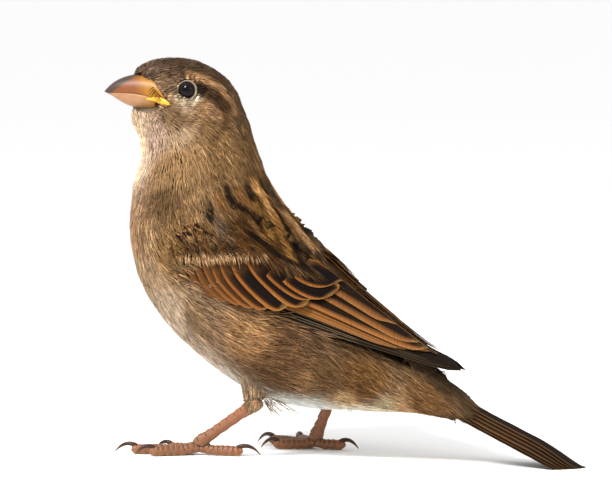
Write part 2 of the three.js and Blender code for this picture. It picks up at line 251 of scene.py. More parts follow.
def perMm(size):  # a texture's scale for features of that size in millimetres
    return 1 / (size * mm)


def addNode(tree, kind, settings=None, links=None):
    node = tree.nodes.new(kind)
    for key, value in (settings or {}).items():
        if isinstance(key, int) or key in node.inputs:
            node.inputs[key].default_value = value
        else:
            setattr(node, key, value)
    for key, socket in (links or {}).items():
        tree.links.new(socket, node.inputs[key])
    return node


def newMaterial(name, settings):
    material = bpy.data.materials.new(name)
    material.use_nodes = True
    shader = material.node_tree.nodes["Principled BSDF"]
    for key, value in settings.items():
        shader.inputs[key].default_value = value
    return material, material.node_tree, shader


def breakUp(tree, shader, pattern, contrast, bump, depth):
    # The pattern lightens and darkens the piece's own markings, and stands in relief by depth metres.
    markings = addNode(tree, "ShaderNodeVertexColor", {"layer_name": "Plumage"})
    shade = addNode(tree, "ShaderNodeMapRange",
                    {"From Min": 0.3, "From Max": 0.7, "To Min": 1 - contrast, "To Max": 1 + contrast},
                    {"Value": pattern})
    shaded = addNode(tree, "ShaderNodeVectorMath", {"operation": "MULTIPLY"},
                     {0: markings.outputs["Color"], 1: shade.outputs["Result"]})
    tree.links.new(shaded.outputs["Vector"], shader.inputs["Base Color"])
    if bump:
        relief = addNode(tree, "ShaderNodeBump", {"Strength": bump, "Distance": depth}, {"Height": pattern})
        tree.links.new(relief.outputs["Normal"], shader.inputs["Normal"])


def paintedMaterial(name, settings, grain, contrast, bump):  # a fine grain of that size in millimetres
    material, tree, shader = newMaterial(name, settings)
    place = addNode(tree, "ShaderNodeTexCoord")
    noise = addNode(tree, "ShaderNodeTexNoise", {"Scale": perMm(grain), "Detail": 4.0},
                    {"Vector": place.outputs["Object"]})
    breakUp(tree, shader, noise.outputs["Fac"], contrast, bump, grain * 0.3 * mm)
    return material


def vaneMaterial(name, settings, spacing, slant, contrast, bump):
    # The barbs of a stiff vane slant forward from the shaft on both sides. They are drawn about three
    # times as coarse as real ones, so that they show. Their map is in millimetres.
    material, tree, shader = newMaterial(name, settings)
    place = addNode(tree, "ShaderNodeUVMap", {"uv_map": "Barbs"})
    parts = addNode(tree, "ShaderNodeSeparateXYZ", None, {"Vector": place.outputs["UV"]})
    across = addNode(tree, "ShaderNodeMath", {"operation": "ABSOLUTE"}, {0: parts.outputs["X"]})
    along = addNode(tree, "ShaderNodeMath", {"operation": "MULTIPLY_ADD", 1: -slant},
                    {0: across.outputs["Value"], 2: parts.outputs["Y"]})
    line = addNode(tree, "ShaderNodeCombineXYZ", None, {"X": along.outputs["Value"]})
    barbs = addNode(tree, "ShaderNodeTexNoise", {"Scale": 1 / spacing, "Detail": 3.0},
                    {"Vector": line.outputs["Vector"]})
    breakUp(tree, shader, barbs.outputs["Fac"], contrast, bump, 0.05 * mm)
    return material


# Loose contour barbs: matt keratin, which hardly shines.
contourBarbs = paintedMaterial("contour_feather_barbs", {"Roughness": 0.75, "Specular IOR Level": 0.06},
                               grain=1.2, contrast=0.12, bump=0)
# Skin grown over with down, seen only between feathers. Its colour, a quarter of the plumage's, is dark
# down together with painted shade in the gaps between feathers.
downAndGapShade = paintedMaterial("downy_skin_and_gap_shade", {"Roughness": 0.9, "Specular IOR Level": 0.15},
                            grain=0.5, contrast=0.25, bump=0.4)
# Stiff vanes of the wing and tail: barbs hooked into one silky web, finely lined aslant.
stiffVane = vaneMaterial("flight_feather_vane", {"Roughness": 0.7, "Specular IOR Level": 0.03},
                         spacing=0.34, slant=1.5, contrast=0.35, bump=0.35)
# Bill horn: smooth keratin with a soft gloss and faint clouding.
billHorn = paintedMaterial("bill_horn", {"Roughness": 0.42, "Specular IOR Level": 0.3},
                           grain=1.6, contrast=0.1, bump=0.05)
# The gape's bare skin: soft and slightly wet.
gapeSkin = paintedMaterial("gape_skin", {"Roughness": 0.42, "Specular IOR Level": 0.45},
                           grain=0.6, contrast=0.1, bump=0.3)
# Scutes of the legs: horny plates with a dull shine.
legScutes = paintedMaterial("leg_scutes", {"Roughness": 0.5, "Specular IOR Level": 0.4},
                            grain=0.5, contrast=0.16, bump=0.35)
# Claw horn: dense, dark and smooth.
clawHorn = paintedMaterial("claw_horn", {"Roughness": 0.35, "Specular IOR Level": 0.22},
                           grain=0.9, contrast=0.1, bump=0.05)
# The eye: a wet cornea over a very dark iris, with one sharp highlight.
wetEye = paintedMaterial("wet_eye", {"Roughness": 0.03, "IOR": 1.38, "Specular IOR Level": 0.23},
                         grain=0.5, contrast=0.05, bump=0)
# Bare lids: dry wrinkled skin.
lidSkin = paintedMaterial("lid_skin", {"Roughness": 0.6, "Specular IOR Level": 0.3},
                          grain=0.35, contrast=0.15, bump=0.5)
print("materials ready")


def closedForm(nodes, name, voxel, gaps, rounds):
    # Gaps close as the form grows by each width in turn, and then it shrinks back.
    piece = copyOf(nodes, name)
    for gap in gaps:
        applyModifier(piece, "DISPLACE", strength=gap * mm, mid_level=0)
        applyModifier(piece, "REMESH", mode="VOXEL", voxel_size=voxel * mm)
        applyModifier(piece, "SMOOTH", factor=0.5, iterations=rounds)
    applyModifier(piece, "DISPLACE", strength=-sum(gaps) * mm, mid_level=0)
    return piece


def treeOf(piece):
    mesh = piece.data
    return BVHTree.FromPolygons([v.co for v in mesh.vertices], [p.vertices for p in mesh.polygons])


def treeOfNodes(*nodes):
    piece = copyOf(nodes, "nodeCopy")
    tree = treeOf(piece)
    bpy.data.objects.remove(piece)
    return tree


def nearest(tree, points):
    places, outs = np.empty_like(points), np.empty_like(points)
    for i, point in enumerate(points):
        places[i], outs[i] = tree.find_nearest(point)[:2]
    return places, outs


def distanceTo(tree, points):
    return np.array([tree.find_nearest(point)[3] for point in points])


# The outer form is the flesh with the folded wings, the tail and the bill. Feather tips lie on it. The
# scapulars bridge the hollow between the back and the wings, so the back's form is closed further.
closing = {
    "outer": {"voxel": 0.6, "gaps": [1.3], "rounds": 6},
    "back": {"voxel": 0.7, "gaps": [1.2, 2.4], "rounds": 5},
    "skin": {"voxel": 0.6, "gaps": [0.45], "rounds": 4},
}
wingNodes = [f"wing_{side}_{row}" for side in sides for row in wingRows]
tailNodes = ["tail_left", "tail_right"]
billNodes = ["bill_upper", "bill_lower"]
form = closedForm(fleshNodes + wingNodes + tailNodes + billNodes, "outerForm", **closing["outer"])
formTree, formPlaces, formOuts = treeOf(form), vertexPlaces(form), vertexNormals(form)
shoulderNodes = [f"wing_{side}_{row}" for side in sides for row in wingRows[2:]]
backForm = closedForm(["neck", "trunk", "rump"] + shoulderNodes, "backForm", **closing["back"])
backTree, backPlaces, backOuts = treeOf(backForm), vertexPlaces(backForm), vertexNormals(backForm)
fleshTree = treeOfNodes(*fleshNodes)
wingTree = treeOfNodes(*wingNodes)
tailTree = treeOfNodes(*tailNodes)
thighTree = treeOfNodes("thigh_left", "thigh_right")


def onForm(points):
    return nearest(formTree, points)


def onBack(points):  # the closed form beside the back, and the outer form along its middle
    beside, besideOuts = nearest(backTree, points)
    middle, middleOuts = nearest(formTree, beside)
    share = smooth(np.abs(onBird(beside)[:, 1]), 3, 8)
    return mix(middle, beside, share), unit(mix(middleOuts, besideOuts, share))


print("outer form", len(formPlaces), "points")


# Markings: named places of the straight bird, right side, with the plumage's colour there and how far
# it reaches in millimetres. Both sides are alike.
markings = {
    "forehead": ((-28, 1, 92.5), "6d5846", 3),
    "crown": ((-18, 0, 95), "584433", 6),
    "hindcrown": ((-9, 3, 90), "584331", 5),
    "nape": ((-4, 3, 82), "644d35", 5),
    "hindneck": ((-1, 3, 73), "7b5d3c", 5),
    "lore": ((-24.5, 5, 87.6), "9c7d60", 2.2),
    "underEye": ((-18, 8, 83.6), "d8b998", 2.2),
    "cheek": ((-21, 8, 80.5), "8b6d4d", 3.5),
    "ear": ((-12.5, 10, 83.5), "ab835d", 4),
    "lowerEar": ((-11, 11, 77.5), "906e49", 4),
    "chin": ((-30.5, 0, 80.5), "d6bb9a", 2.5),
    "throat": ((-30, 2, 75), "f9d8b4", 4),
    "throatSide": ((-25.5, 7, 76), "c9ab93", 3.5),
    "jaw": ((-19.5, 9.5, 75), "ccac88", 3.4),
    "foreneck": ((-30, 4, 67), "f7dabb", 5),
    "neckSide": ((-17, 12, 69), "ae885d", 6),
    "rearNeck": ((-5, 11, 70), "886843", 5),
    "neckBase": ((-31, 3, 61.5), "c6a585", 5),
    "upperBreast": ((-31, 3, 56), "99795d", 7),
    "breastSide": ((-22, 15, 52), "a5825f", 6),
    "bend": ((-13, 19, 50), "947146", 5),
    "breast": ((-28, 6, 42), "ab9279", 6),
    "breastLowSide": ((-22, 14, 43), "ad8f6f", 5.5),
    "lowerBreast": ((-18, 12, 34), "c3aa90", 6),
    "flank": ((8, 18.6, 29), "ab8156", 4),
    "rearFlank": ((14, 18, 22), "6f5035", 7),
    "belly": ((-12, 3, 22.5), "e4c8ae", 5),
    "innerBelly": ((0, 3, 15), "fff2dc", 5),
    "vent": ((14, 3, 11.5), "ffffef", 6),
    "ventSide": ((28, 10, 14.8), "c8a073", 2.6),
    "ventRear": ((37.5, 7.6, 13.5), "dcc39c", 2.6),
    "flankLow": ((18, 15, 19), "95704b", 3.5),
    "flankRear": ((25, 13.5, 19.5), "6e5033", 3.5),
    "flankFront": ((-5.5, 19.8, 33), "937556", 3.5),
    "breastShoulder": ((-18.5, 17, 60), "775a3b", 4),
    "underTail": ((32, 2, 11), "fbe2c0", 6),
    "underTailSide": ((40, 6, 12.5), "c79d71", 4),
    "rumpSide": ((33, 11, 19), "775430", 6),
    "tailSide": ((46, 6, 15), "775533", 5),
    "rump": ((36, 2, 27), "634e36", 6),
    "overTail": ((49, 1, 18.5), "4f3e2c", 5),
    "mantle": ((4, 3, 62), "80592f", 5),
    "scapular": ((7, 14, 53), "573817", 5),
    "back": ((20, 2, 46), "63482b", 7),
    "thigh": ((3.7, 11, 14), "a08261", 3),
}
# Stripes of the head: a path on the straight head's side, as x and z, with a colour and a half width.
stripes = [
    ("cc9a68", 1.25, [(-17.5, 90.6), (-13.5, 89.8), (-9.3, 86.6), (-7.0, 82.5)]),  # brow, behind the eye
    ("1f1409", 1.6, [(-15.2, 87.6), (-11.5, 86.0), (-8.8, 82.8)]),  # dark line from the eye
    ("cdb391", 0.8, [(-20.6, 85.2), (-18.2, 84.1), (-15.4, 85.0)]),  # pale crescent under the eye
    ("6e5033", 1.0, [(-8.6, 82.4), (-9.0, 78.5), (-11.5, 75.4)]),  # rear rim of the ear feathers
]
# Streaks of the back, the same on both sides: a colour, a half width and a path of x, y and z.
streaks = [
    ("4a3c31", 1.2, [(1, 0, 65), (5, 0, 60), (9, 0, 55), (13, 0, 51), (17, 0, 47)]),
    ("c9945a", 1.4, [(0.8, 6.0, 64.3), (2.4, 4.9, 62.6), (4.0, 4.2, 60.7), (5.6, 5.0, 58.6),
                     (7.6, 5.8, 56.3)]),
    ("a5743c", 1.3, [(7.6, 5.8, 56.3), (9.2, 7.0, 53.9), (11.0, 7.1, 51.3), (13.9, 10.7, 48.4)]),
    ("cb9866", 0.8, [(7.5, 1.0, 57.5), (9.1, 1.0, 55.8), (11.0, 0.7, 53.9), (13.0, 0.8, 51.8),
                     (15.2, 1.2, 49.7)]),
    ("8f5f35", 0.8, [(-1.6, 10.9, 63.5), (-0.1, 11.4, 61.2)]),
    ("84592f", 0.8, [(-5.1, 14.7, 62.4), (-3.5, 15.3, 59.7)]),
    ("9a7038", 0.8, [(2.8, 8.5, 59.9), (4.6, 8.5, 57.6), (6.1, 8.9, 55.3), (7.7, 9.6, 53.0)]),
    ("8a6438", 0.8, [(2.9, 11.6, 56.5), (5.2, 12.0, 54.2), (7.9, 13.5, 52.0)]),
    ("8f6a3c", 0.9, [(13.6, 3.6, 50.1), (15.8, 3.3, 47.5), (18.1, 2.5, 45.5)]),
    ("6f5a45", 1.2, [(-3.1, 17.9, 56.5), (-0.2, 19.5, 53.6), (1.6, 20.1, 51.6)]),
    ("17110b", 0.85, [(-0.3, 8.1, 64.4), (0.6, 8.5, 62.7), (1.8, 8.6, 61.1)]),
    ("17110b", 0.6, [(-0.8, 12.6, 60.3), (0.9, 11.9, 59.1), (2.8, 10.4, 57.9), (4.3, 10.1, 56.2),
                     (5.0, 10.6, 54.9)]),
    ("130e09", 0.6, [(4.4, 3.0, 60.4), (6.2, 3.4, 58.3), (8.0, 4.0, 56.2), (9.7, 4.8, 54.4)]),
    ("130e09", 0.95, [(9.7, 4.8, 54.4), (11.1, 5.7, 52.2), (12.5, 6.0, 50.5), (13.9, 7.2, 48.6),
                      (16.0, 10.2, 46.8)]),
    ("1a130c", 0.8, [(4.1, 15.5, 54.2), (6.0, 15.0, 52.8), (7.8, 14.3, 51.6), (9.7, 13.9, 50.2),
                     (11.6, 13.7, 48.6)]),
    ("17110b", 0.8, [(-2.5, 22.3, 50.2), (-0.7, 21.9, 50.2), (1.4, 20.8, 50.6), (4.5, 19.6, 50.0)]),
    ("1c140d", 0.5, [(12.2, 13.3, 48.3), (14.6, 12.2, 47.1), (16.4, 11.5, 46.0), (18.9, 9.7, 44.7)]),
    ("1c140d", 0.9, [(-6.1, 16.6, 59.7), (-5.1, 18.1, 56.9)]),
    ("2a1d12", 0.7, [(-4.2, 12.7, 64.5), (-3.2, 13.3, 62.4), (-1.6, 13.3, 60.3)]),
    ("2a1d12", 0.35, [(1.7, 7.2, 62.2), (3.2, 7.2, 60.3), (4.2, 7.7, 58.7), (5.1, 8.9, 56.5)]),
    ("3a2d23", 0.6, [(0.7, 2.6, 66.2), (2.1, 2.6, 64.0), (3.7, 2.0, 61.9)]),
    ("1c140d", 0.5, [(13.7, 5.7, 49.1), (16.0, 8.9, 47.0), (17.9, 9.8, 45.6)]),
]
laidStreaks = [(tone, half, onBird(onBack(inFrame(path))[0])) for tone, half, path in streaks]
markPlaces = np.array([place for place, _, _ in markings.values()], float)
markColours = np.array([linear(colour) for _, colour, _ in markings.values()])
markReach = np.array([reach for _, _, reach in markings.values()], float)


def distanceToPath(points, path):
    best = np.full(len(points), 1e9)
    for a, b in zip(np.array(path[:-1], float), np.array(path[1:], float)):
        f = np.clip(((points - a) @ (b - a)) / ((b - a) @ (b - a)), 0, 1)
        best = np.minimum(best, np.linalg.norm(points - a - f[:, None] * (b - a), axis=1))
    return best


def plumage(points):  # linear colour of the coat at places of the frame
    places = straight(onBird(points))
    places[:, 1] = np.abs(places[:, 1])
    gap = np.linalg.norm(places[:, None, :] - markPlaces, axis=2) / markReach
    weight = 1 / (gap ** 2 + 0.12) ** 2.5
    colour = (weight @ markColours) / weight.sum(axis=1, keepdims=True)
    beside = smooth(places[:, 1], 3.5, 6)
    for tone, half, path in stripes:
        near = distanceToPath(places[:, [0, 2]], path)
        colour = mix(colour, linear(tone), 0.85 * beside * (1 - smooth(near, 0.5 * half, 1.5 * half)))
    for tone, half, path in laidStreaks:
        near = distanceToPath(places, path)
        colour = mix(colour, linear(tone), 0.97 * (1 - smooth(near, 0.85 * half, 1.6 * half)))
    return colour


# The lie of the coat: at named places of the straight bird, right side, the way from a feather's root
# to its tip.
lie = [
    ((-29.5, 0, 92.6), (0.75, 0, 0.66)), ((-26, 3, 93), (0.95, 0.1, 0.3)), ((-20, 0, 95), (1, 0, 0)),
    ((-14, 0, 93.5), (0.95, 0, -0.3)), ((-9, 0, 90), (0.7, 0, -0.7)), ((-5, 0, 83), (0.35, 0, -0.93)),
    ((-2.5, 0, 76), (0.3, 0, -0.95)), ((0, 0, 69), (0.4, 0, -0.9)),
    ((-27, 4, 88), (0.75, 0.5, 0.35)), ((-24, 6, 86), (0.95, 0.3, 0)), ((-23, 6, 91), (0.95, 0.1, 0.2)),
    ((-18, 7, 91), (1, 0, 0)), ((-13, 9, 88.5), (0.95, 0, -0.3)), ((-8.5, 8, 86), (0.65, 0, -0.75)),
    ((-23, 6.5, 82.5), (0.8, 0.2, -0.55)), ((-17, 9, 82.5), (0.95, 0, -0.25)),
    ((-11.5, 10, 80.5), (0.85, 0, -0.5)), ((-13, 10.5, 76), (0.6, 0, -0.8)),
    ((-31, 0, 80.5), (0.2, 0, -0.97)), ((-28.5, 4, 78), (0.35, 0.1, -0.93)),
    ((-23, 8, 75.5), (0.5, 0, -0.87)),
    ((-30, 0, 72), (0, 0, -1)), ((-24, 9, 70), (0.25, 0, -0.97)), ((-15, 12, 70), (0.3, 0, -0.95)),
    ((-6, 11, 72), (0.3, 0, -0.95)), ((-31.5, 0, 63), (-0.05, 0, -1)), ((-22, 14, 60), (0.15, 0, -1)),
    ((-11, 17, 61), (0.3, 0, -0.95)), ((-2, 14, 64), (0.45, 0, -0.9)),
    ((-31.8, 0, 52), (0.05, 0, -1)), ((-26, 13, 51), (0.3, 0, -0.95)), ((-19, 18, 52), (0.65, 0, -0.72)),
    ((-15, 20, 49), (0.9, 0, -0.4)), ((-28, 0, 39), (0.45, 0, -0.9)), ((-21, 14, 37), (0.6, 0, -0.8)),
    ((-12, 19, 38), (0.8, 0, -0.6)), ((0, 19, 31), (0.9, 0, -0.4)), ((-20, 0, 29), (0.7, 0, -0.72)),
    ((-8, 13, 24), (0.85, 0, -0.5)), ((-9, 0, 21), (0.85, 0, -0.5)),
    ((8, 18, 26), (0.96, 0, -0.2)), ((16, 18, 22), (0.93, 0, -0.3)), ((10, 12, 15), (0.95, 0, -0.25)),
    ((5, 0, 13.5), (0.97, 0, -0.15)), ((20, 0, 11.5), (1, 0, 0)), ((25, 14, 22), (0.8, 0, -0.55)),
    ((29, 13, 15), (0.92, 0, -0.3)), ((35, 9, 20), (0.75, 0, -0.6)), ((42, 7, 17), (0.82, 0, -0.55)),
    ((48, 5, 13), (0.88, 0, -0.47)), ((32, 0, 11), (1, 0, -0.05)), ((44, 0, 11), (0.95, 0, -0.25)),
    ((3, 0, 63), (0.5, 0, -0.85)), ((7, 0, 58), (0.65, 0, -0.75)), ((13, 6, 51), (0.62, -0.1, -0.78)),
    ((20, 0, 44), (0.65, 0, -0.75)), ((30, 0, 33), (0.7, 0, -0.7)), ((40, 0, 25), (0.82, 0, -0.57)),
    ((50, 0, 18), (0.87, 0, -0.5)), ((-4, 16, 54), (0.6, 0, -0.8)), ((8, 15, 49), (0.72, 0, -0.68)),
]
liePlaces = np.array([place for place, _ in lie], float)
lieWays = unit(np.array([way for _, way in lie], float))


def eyeMiddle(sign):
    return onHead([eye["place"][0], sign * eye["place"][1], eye["place"][2]])


def eyeWays(points):  # the way to each eye from places of the frame, and how far it is in millimetres
    for sign in sides.values():
        gap = eyeMiddle(sign) - points
        length = np.linalg.norm(gap, axis=1)
        yield gap / length[:, None], length / mm


def layAt(points, outs):  # the lie in the frame, along the surface
    bird = onBird(points)
    angle = turnAngle(bird)
    places = turnBy(bird, -angle)
    side = np.where(places[:, 1] < 0, -1.0, 1.0)
    places[:, 1] = np.abs(places[:, 1])
    weight = 1 / (((places[:, None, :] - liePlaces) ** 2).sum(axis=2) + 2) ** 2
    ways = weight @ lieWays
    ways[:, 1] *= side
    c, s = np.cos(angle), np.sin(angle)
    ways = np.column_stack([ways[:, 0] * c - ways[:, 1] * s, ways[:, 0] * s + ways[:, 1] * c, ways[:, 2]])
    down = distanceTo(thighTree, points) < 0.4 * mm
    ways[down] = [0.05, 0, -1]
    for toEye, gap in eyeWays(points):  # the coat parts round the eyes
        ahead = np.maximum((ways * toEye).sum(axis=1), 0) * (1 - smooth(gap, 3, 5.5))
        ways -= ahead[:, None] * toEye
    return laidOn(outs, ways)


# The unwrap of the coat, along the bird from the bill to the tail and round it.
spine = np.array([(-31, 86), (-20, 86), (-17, 71), (-12, 55), (0, 38), (20, 24), (40, 18), (56, 12)], float)


def unwrap(points):
    places = straight(onBird(points))
    steps = np.diff(spine, axis=0)
    lengths = np.linalg.norm(steps, axis=1)
    before = np.concatenate([[0], np.cumsum(lengths)[:-1]])
    best, along, offset = np.full(len(places), 1e9), np.zeros(len(places)), np.zeros(len(places))
    for start, step, length, travelled in zip(spine, steps, lengths, before):
        way = step / length
        gap = places[:, [0, 2]] - start
        f = np.clip(gap @ way, 0, length)
        miss = gap - f[:, None] * way
        square = (miss ** 2).sum(axis=1)
        nearer = square < best
        best = np.where(nearer, square, best)
        along = np.where(nearer, travelled + f, along)
        offset = np.where(nearer, miss @ np.array([-way[1], way[0]]), offset)
    angle = np.arctan2(places[:, 1], offset)
    return np.column_stack([0.5 + angle / (2.04 * math.pi), 0.01 + 0.98 * along / lengths.sum()])


patch = 0.003  # a barb's share of the unwrap
ringAcross = np.array([-0.5, 0, 0.5])


def barbMesh(name, paths, ways, widths, colours, roots):
    # A barb is a slim closed blade with a raised middle: three rings of three points, and a tip. Paths and
    # colours hold four stations to a barb, widths three, and ways the way out of the coat.
    count = len(paths)
    tangent = unit(np.gradient(paths, axis=1))
    across = unit(np.cross(ways[:, None, :], tangent))[:, :3]
    rings = paths[:, :3, None, :] + across[:, :, None, :] * widths[:, :, None, None] * ringAcross[:, None]
    rings[:, :, 1] += ways[:, None, :] * widths[:, :, None] * 0.3
    points = np.concatenate([rings.reshape(count, 9, 3), paths[:, 3:4]], axis=1)
    tones = np.concatenate([np.repeat(colours[:, :3], 3, axis=1), colours[:, 3:4]], axis=1)
    quads = [(r + j, r + 3 + j, r + 3 + (j + 1) % 3, r + (j + 1) % 3) for r in (0, 3) for j in range(3)]
    ends = [(6 + j, 9, 6 + (j + 1) % 3) for j in range(3)] + [(0, 1, 2)]
    corners = np.array([corner for face in quads + ends for corner in face])
    sizes = [4] * len(quads) + [3] * len(ends)
    flat = (np.arange(count)[:, None] * 10 + corners).ravel()
    piece = meshFrom(name, points.reshape(-1, 3), flat, np.tile(sizes, count), tones.reshape(-1, 3))
    spot = np.array([(x, y) for y in (0, 0.4, 0.8) for x in (0, 0.5, 1)] + [(0.5, 1)]) - 0.5
    centres = np.clip(unwrap(roots), patch, 1 - patch)
    addMap(piece, "OFBake", centres[:, None, :] + patch * spot[corners])
    return piece


mostBarbs = 12000  # in one piece, which keeps it under 200,000 triangles


def barbPieces(name, slot, barbs):
    # Barbs are parted round the bird, so that each piece is one region.
    paths, ways, widths, colours, roots = barbs
    count = -(-len(paths) // mostBarbs)
    order = np.argsort(np.arctan2(onBird(roots)[:, 1], onBird(roots)[:, 2] - 40), kind="stable")
    made = []
    for number, chosen in enumerate(np.array_split(order, count)):
        label = f"{name}_{number + 1}" if count > 1 else name
        piece = barbMesh(label, paths[chosen], ways[chosen], widths[chosen], colours[chosen], roots[chosen])
        made.append(finishPiece(piece, contourBarbs, slot))
    print(name, len(paths), "barbs in", count)
    return made


def thinned(places, spacing):  # one place to each cell, in millimetres
    order = dice.permutation(len(places))
    cells = np.floor(places[order] / (spacing * mm)).astype(int)
    _, first = np.unique(cells, axis=0, return_index=True)
    return order[first]


# Contour feathers: each is a fan of loose barbs from one root. Sizes are in millimetres.
coats = {
    "face": {"slot": "head_plumage", "spacing": 0.85, "length": 2.2, "fan": 0.9, "barbs": 5, "width": 0.15,
             "depth": 0.5, "lift": 0.1, "mottle": 0.38},
    "head": {"slot": "head_plumage", "spacing": 1.2, "length": 4.0, "fan": 1.3, "barbs": 6, "width": 0.18,
             "depth": 0.8, "lift": 0.12},
    "neck": {"slot": "neck_plumage", "spacing": 1.5, "length": 6.0, "fan": 1.9, "barbs": 7, "width": 0.2,
             "depth": 1.1, "lift": 0.15},
    "body": {"slot": "body_plumage", "spacing": 1.8, "length": 8.2, "fan": 2.8, "barbs": 9, "width": 0.21,
             "depth": 1.3, "lift": 0.18},
    "rump": {"slot": "rump_plumage", "spacing": 1.7, "length": 7.6, "fan": 2.3, "barbs": 8, "width": 0.21,
             "depth": 1.2, "lift": 0.15},
    "thigh": {"slot": "thigh_plumage", "spacing": 1.0, "length": 3.4, "fan": 1.1, "barbs": 6, "width": 0.18,
              "depth": 0.6, "lift": 0.12},
    "tail_base": {"slot": "rump_plumage", "spacing": 1.5, "length": 12.5, "fan": 1.5, "barbs": 9,
                  "width": 0.2, "depth": 1.0, "lift": 0.08},
    "back": {"slot": "body_plumage", "spacing": 1.75, "length": 8.4, "fan": 2.8, "barbs": 10, "width": 0.22,
             "depth": 1.2, "lift": 0.12},
}
stationPlaces = np.array([0, 0.4, 0.75, 1])
toneLimits = (0.003, 0.9)  # of any feather's linear colour


def coatColour(places, s, t, feather):  # plain feathers: grey down at the root and a paler rim
    colour = plumage(places.reshape(-1, 3)).reshape(places.shape)
    rim = smooth(s, 0.8, 1) * 0.25 - 0.2 * np.exp(-((s - 0.72) / 0.1) ** 2)
    return colour * (0.42 + 0.58 * smooth(s, 0, 0.6) + rim)[..., None]


def backColour(places, s, t, feather):  # about half of these feathers have a dark middle
    colour = coatColour(places, s, t, feather)
    dark = 0.75 * (feather > 0.3) * (1 - smooth(np.abs(t), 0.25, 0.55)) * (1 - smooth(s, 0.93, 1) * 0.6)
    return mix(colour, linear("241910"), dark)


def contourFeathers(roots, outs, ways, coat, colourAt=coatColour, surfaceAt=onForm):
    count, fan = len(roots), coat["barbs"]
    acrosses = np.cross(outs, ways)
    t = np.linspace(-1, 1, fan)[None, :] + dice.normal(0, 0.12, (count, fan))
    length = coat["length"] * mm * dice.uniform(0.85, 1.15, (count, 1)) * (1 - 0.22 * t ** 2)
    for _, gap in eyeWays(roots):
        length *= np.clip((gap[:, None] - 1.6) / 3.2, 0.3, 1)
    length = length * dice.uniform(0.82, 1.1, (count, fan))
    spread = coat["fan"] * mm * t
    skew = dice.normal(0, 0.05, (count, 1)) + dice.normal(0, 0.03, (count, fan))
    wave = dice.normal(0, 0.012, (count, 1)) * coat["length"] * mm
    places = np.empty((count, fan, 4, 3))
    for k, s in enumerate(stationPlaces):
        sideways = spread * (0.3 + 0.75 * s ** 0.8) + skew * length * s ** 1.5 + wave * math.sin(6 * s)
        places[:, :, k] = (roots[:, None, :] + ways[:, None, :] * (length * s - 0.35 * length)[..., None]
                           + acrosses[:, None, :] * sideways[..., None])
    surface, normals = surfaceAt(places.reshape(-1, 3))
    surface, normals = surface.reshape(places.shape), normals.reshape(places.shape)
    rise = np.array([-coat["depth"], -0.25 * coat["depth"], -0.03 * coat["depth"], coat["lift"]]) * mm
    heights = rise + dice.normal(0, 0.05 * mm, (count, fan, 1)) + dice.normal(0, 0.04 * mm, (count, 1, 1))
    paths = surface + normals * heights[..., None]
    width = coat["width"] * mm * dice.uniform(0.7, 1.3, (count * fan, 1)) * np.array([0.8, 1, 0.75])
    s = np.broadcast_to(stationPlaces, (count, fan, 4))
    feather = dice.uniform(0, 1, (count, 1, 1))
    shade = dice.normal(0, coat.get("mottle", 0.16), (count, 1, 1)) + dice.normal(0, 0.4, (count, fan, 1))
    here = straight(onBird(roots))  # the throat's and lower cheek's feathers are all of one tone
    even = (1 - smooth(here[:, 2], 80, 86)) * smooth(here[:, 2], 56, 66)
    even *= 1 - smooth(here[:, 0], -19, -10)
    shade = np.exp(shade * (1 - 0.6 * even)[:, None, None])
    colours = colourAt(surface, s, np.broadcast_to(t[..., None], s.shape), feather) * shade[..., None]
    colours = np.clip(colours, *toneLimits).reshape(-1, 4, 3)
    away = normals.reshape(-1, 4, 3)[:, 1]
    return paths.reshape(-1, 4, 3), away, width, colours, np.repeat(roots, fan, axis=0)


def rootedAt(within, spacing, places=formPlaces, normals=formOuts):  # a zone's points, one to each cell
    chosen = within[thinned(places[within], spacing)]
    return places[chosen], normals[chosen], layAt(places[chosen], normals[chosen])


birdPlaces = onBird(formPlaces)
headPlaces = straight(birdPlaces)
ofThigh = distanceTo(thighTree, formPlaces) < 0.35 * mm
ofWing = distanceTo(wingTree, formPlaces) < 0.5 * mm
ofTail = distanceTo(tailTree, formPlaces) < 0.5 * mm


def isBackAt(places):  # the back's streaked feathers reach from the nape over the shoulders of the wings
    x, z = places[:, 0], places[:, 2]
    low = np.interp(x, [-7, 2.9, 6.6, 11.6, 16.7, 20, 26], [53.5, 53.2, 51, 47.6, 46.2, 44.8, 41.5])
    front = np.interp(z, [50, 56, 60, 66], [-6.5, -5.5, -4, -2.5])
    return (z > low) & (x > front) & (x < 28) & (straight(places)[:, 2] < 66.2)


ofBack = isBackAt(birdPlaces)
ofFlesh = distanceTo(fleshTree, formPlaces) < np.where(birdPlaces[:, 0] > 28, 0.4, 1.1) * mm
print("zones ready")

# The bare horn seen from the side, as x and z of the straight head. Feathers root outside it.
hornOutline = [(-31.6, 91.4), (-28.6, 90.9), (-28.6, 89.6), (-27.5, 89.5), (-26.5, 87.9), (-24.6, 86.1),
               (-22.6, 84.4), (-22.6, 83.3), (-24.6, 83.7), (-25.7, 81.6), (-29, 81.7), (-31.3, 82),
               (-40, 80), (-46, 88), (-40, 96)]


def insideOutline(places, corners):
    inside = np.zeros(len(places), bool)
    corners = np.array(corners, float)
    for a, b in zip(corners, np.roll(corners, -1, axis=0)):
        crosses = (a[1] > places[:, 1]) != (b[1] > places[:, 1])
        reach = a[0] + (places[:, 1] - a[1]) * (b[0] - a[0]) / np.where(b[1] == a[1], 1e-9, b[1] - a[1])
        inside ^= crosses & (places[:, 0] < reach)
    return inside


def eyeDistance(places):  # from places on the straight head to the eye of their side
    mirrored = np.column_stack([places[:, 0], np.abs(places[:, 1]), places[:, 2]])
    return np.linalg.norm(mirrored - eye["place"], axis=1)


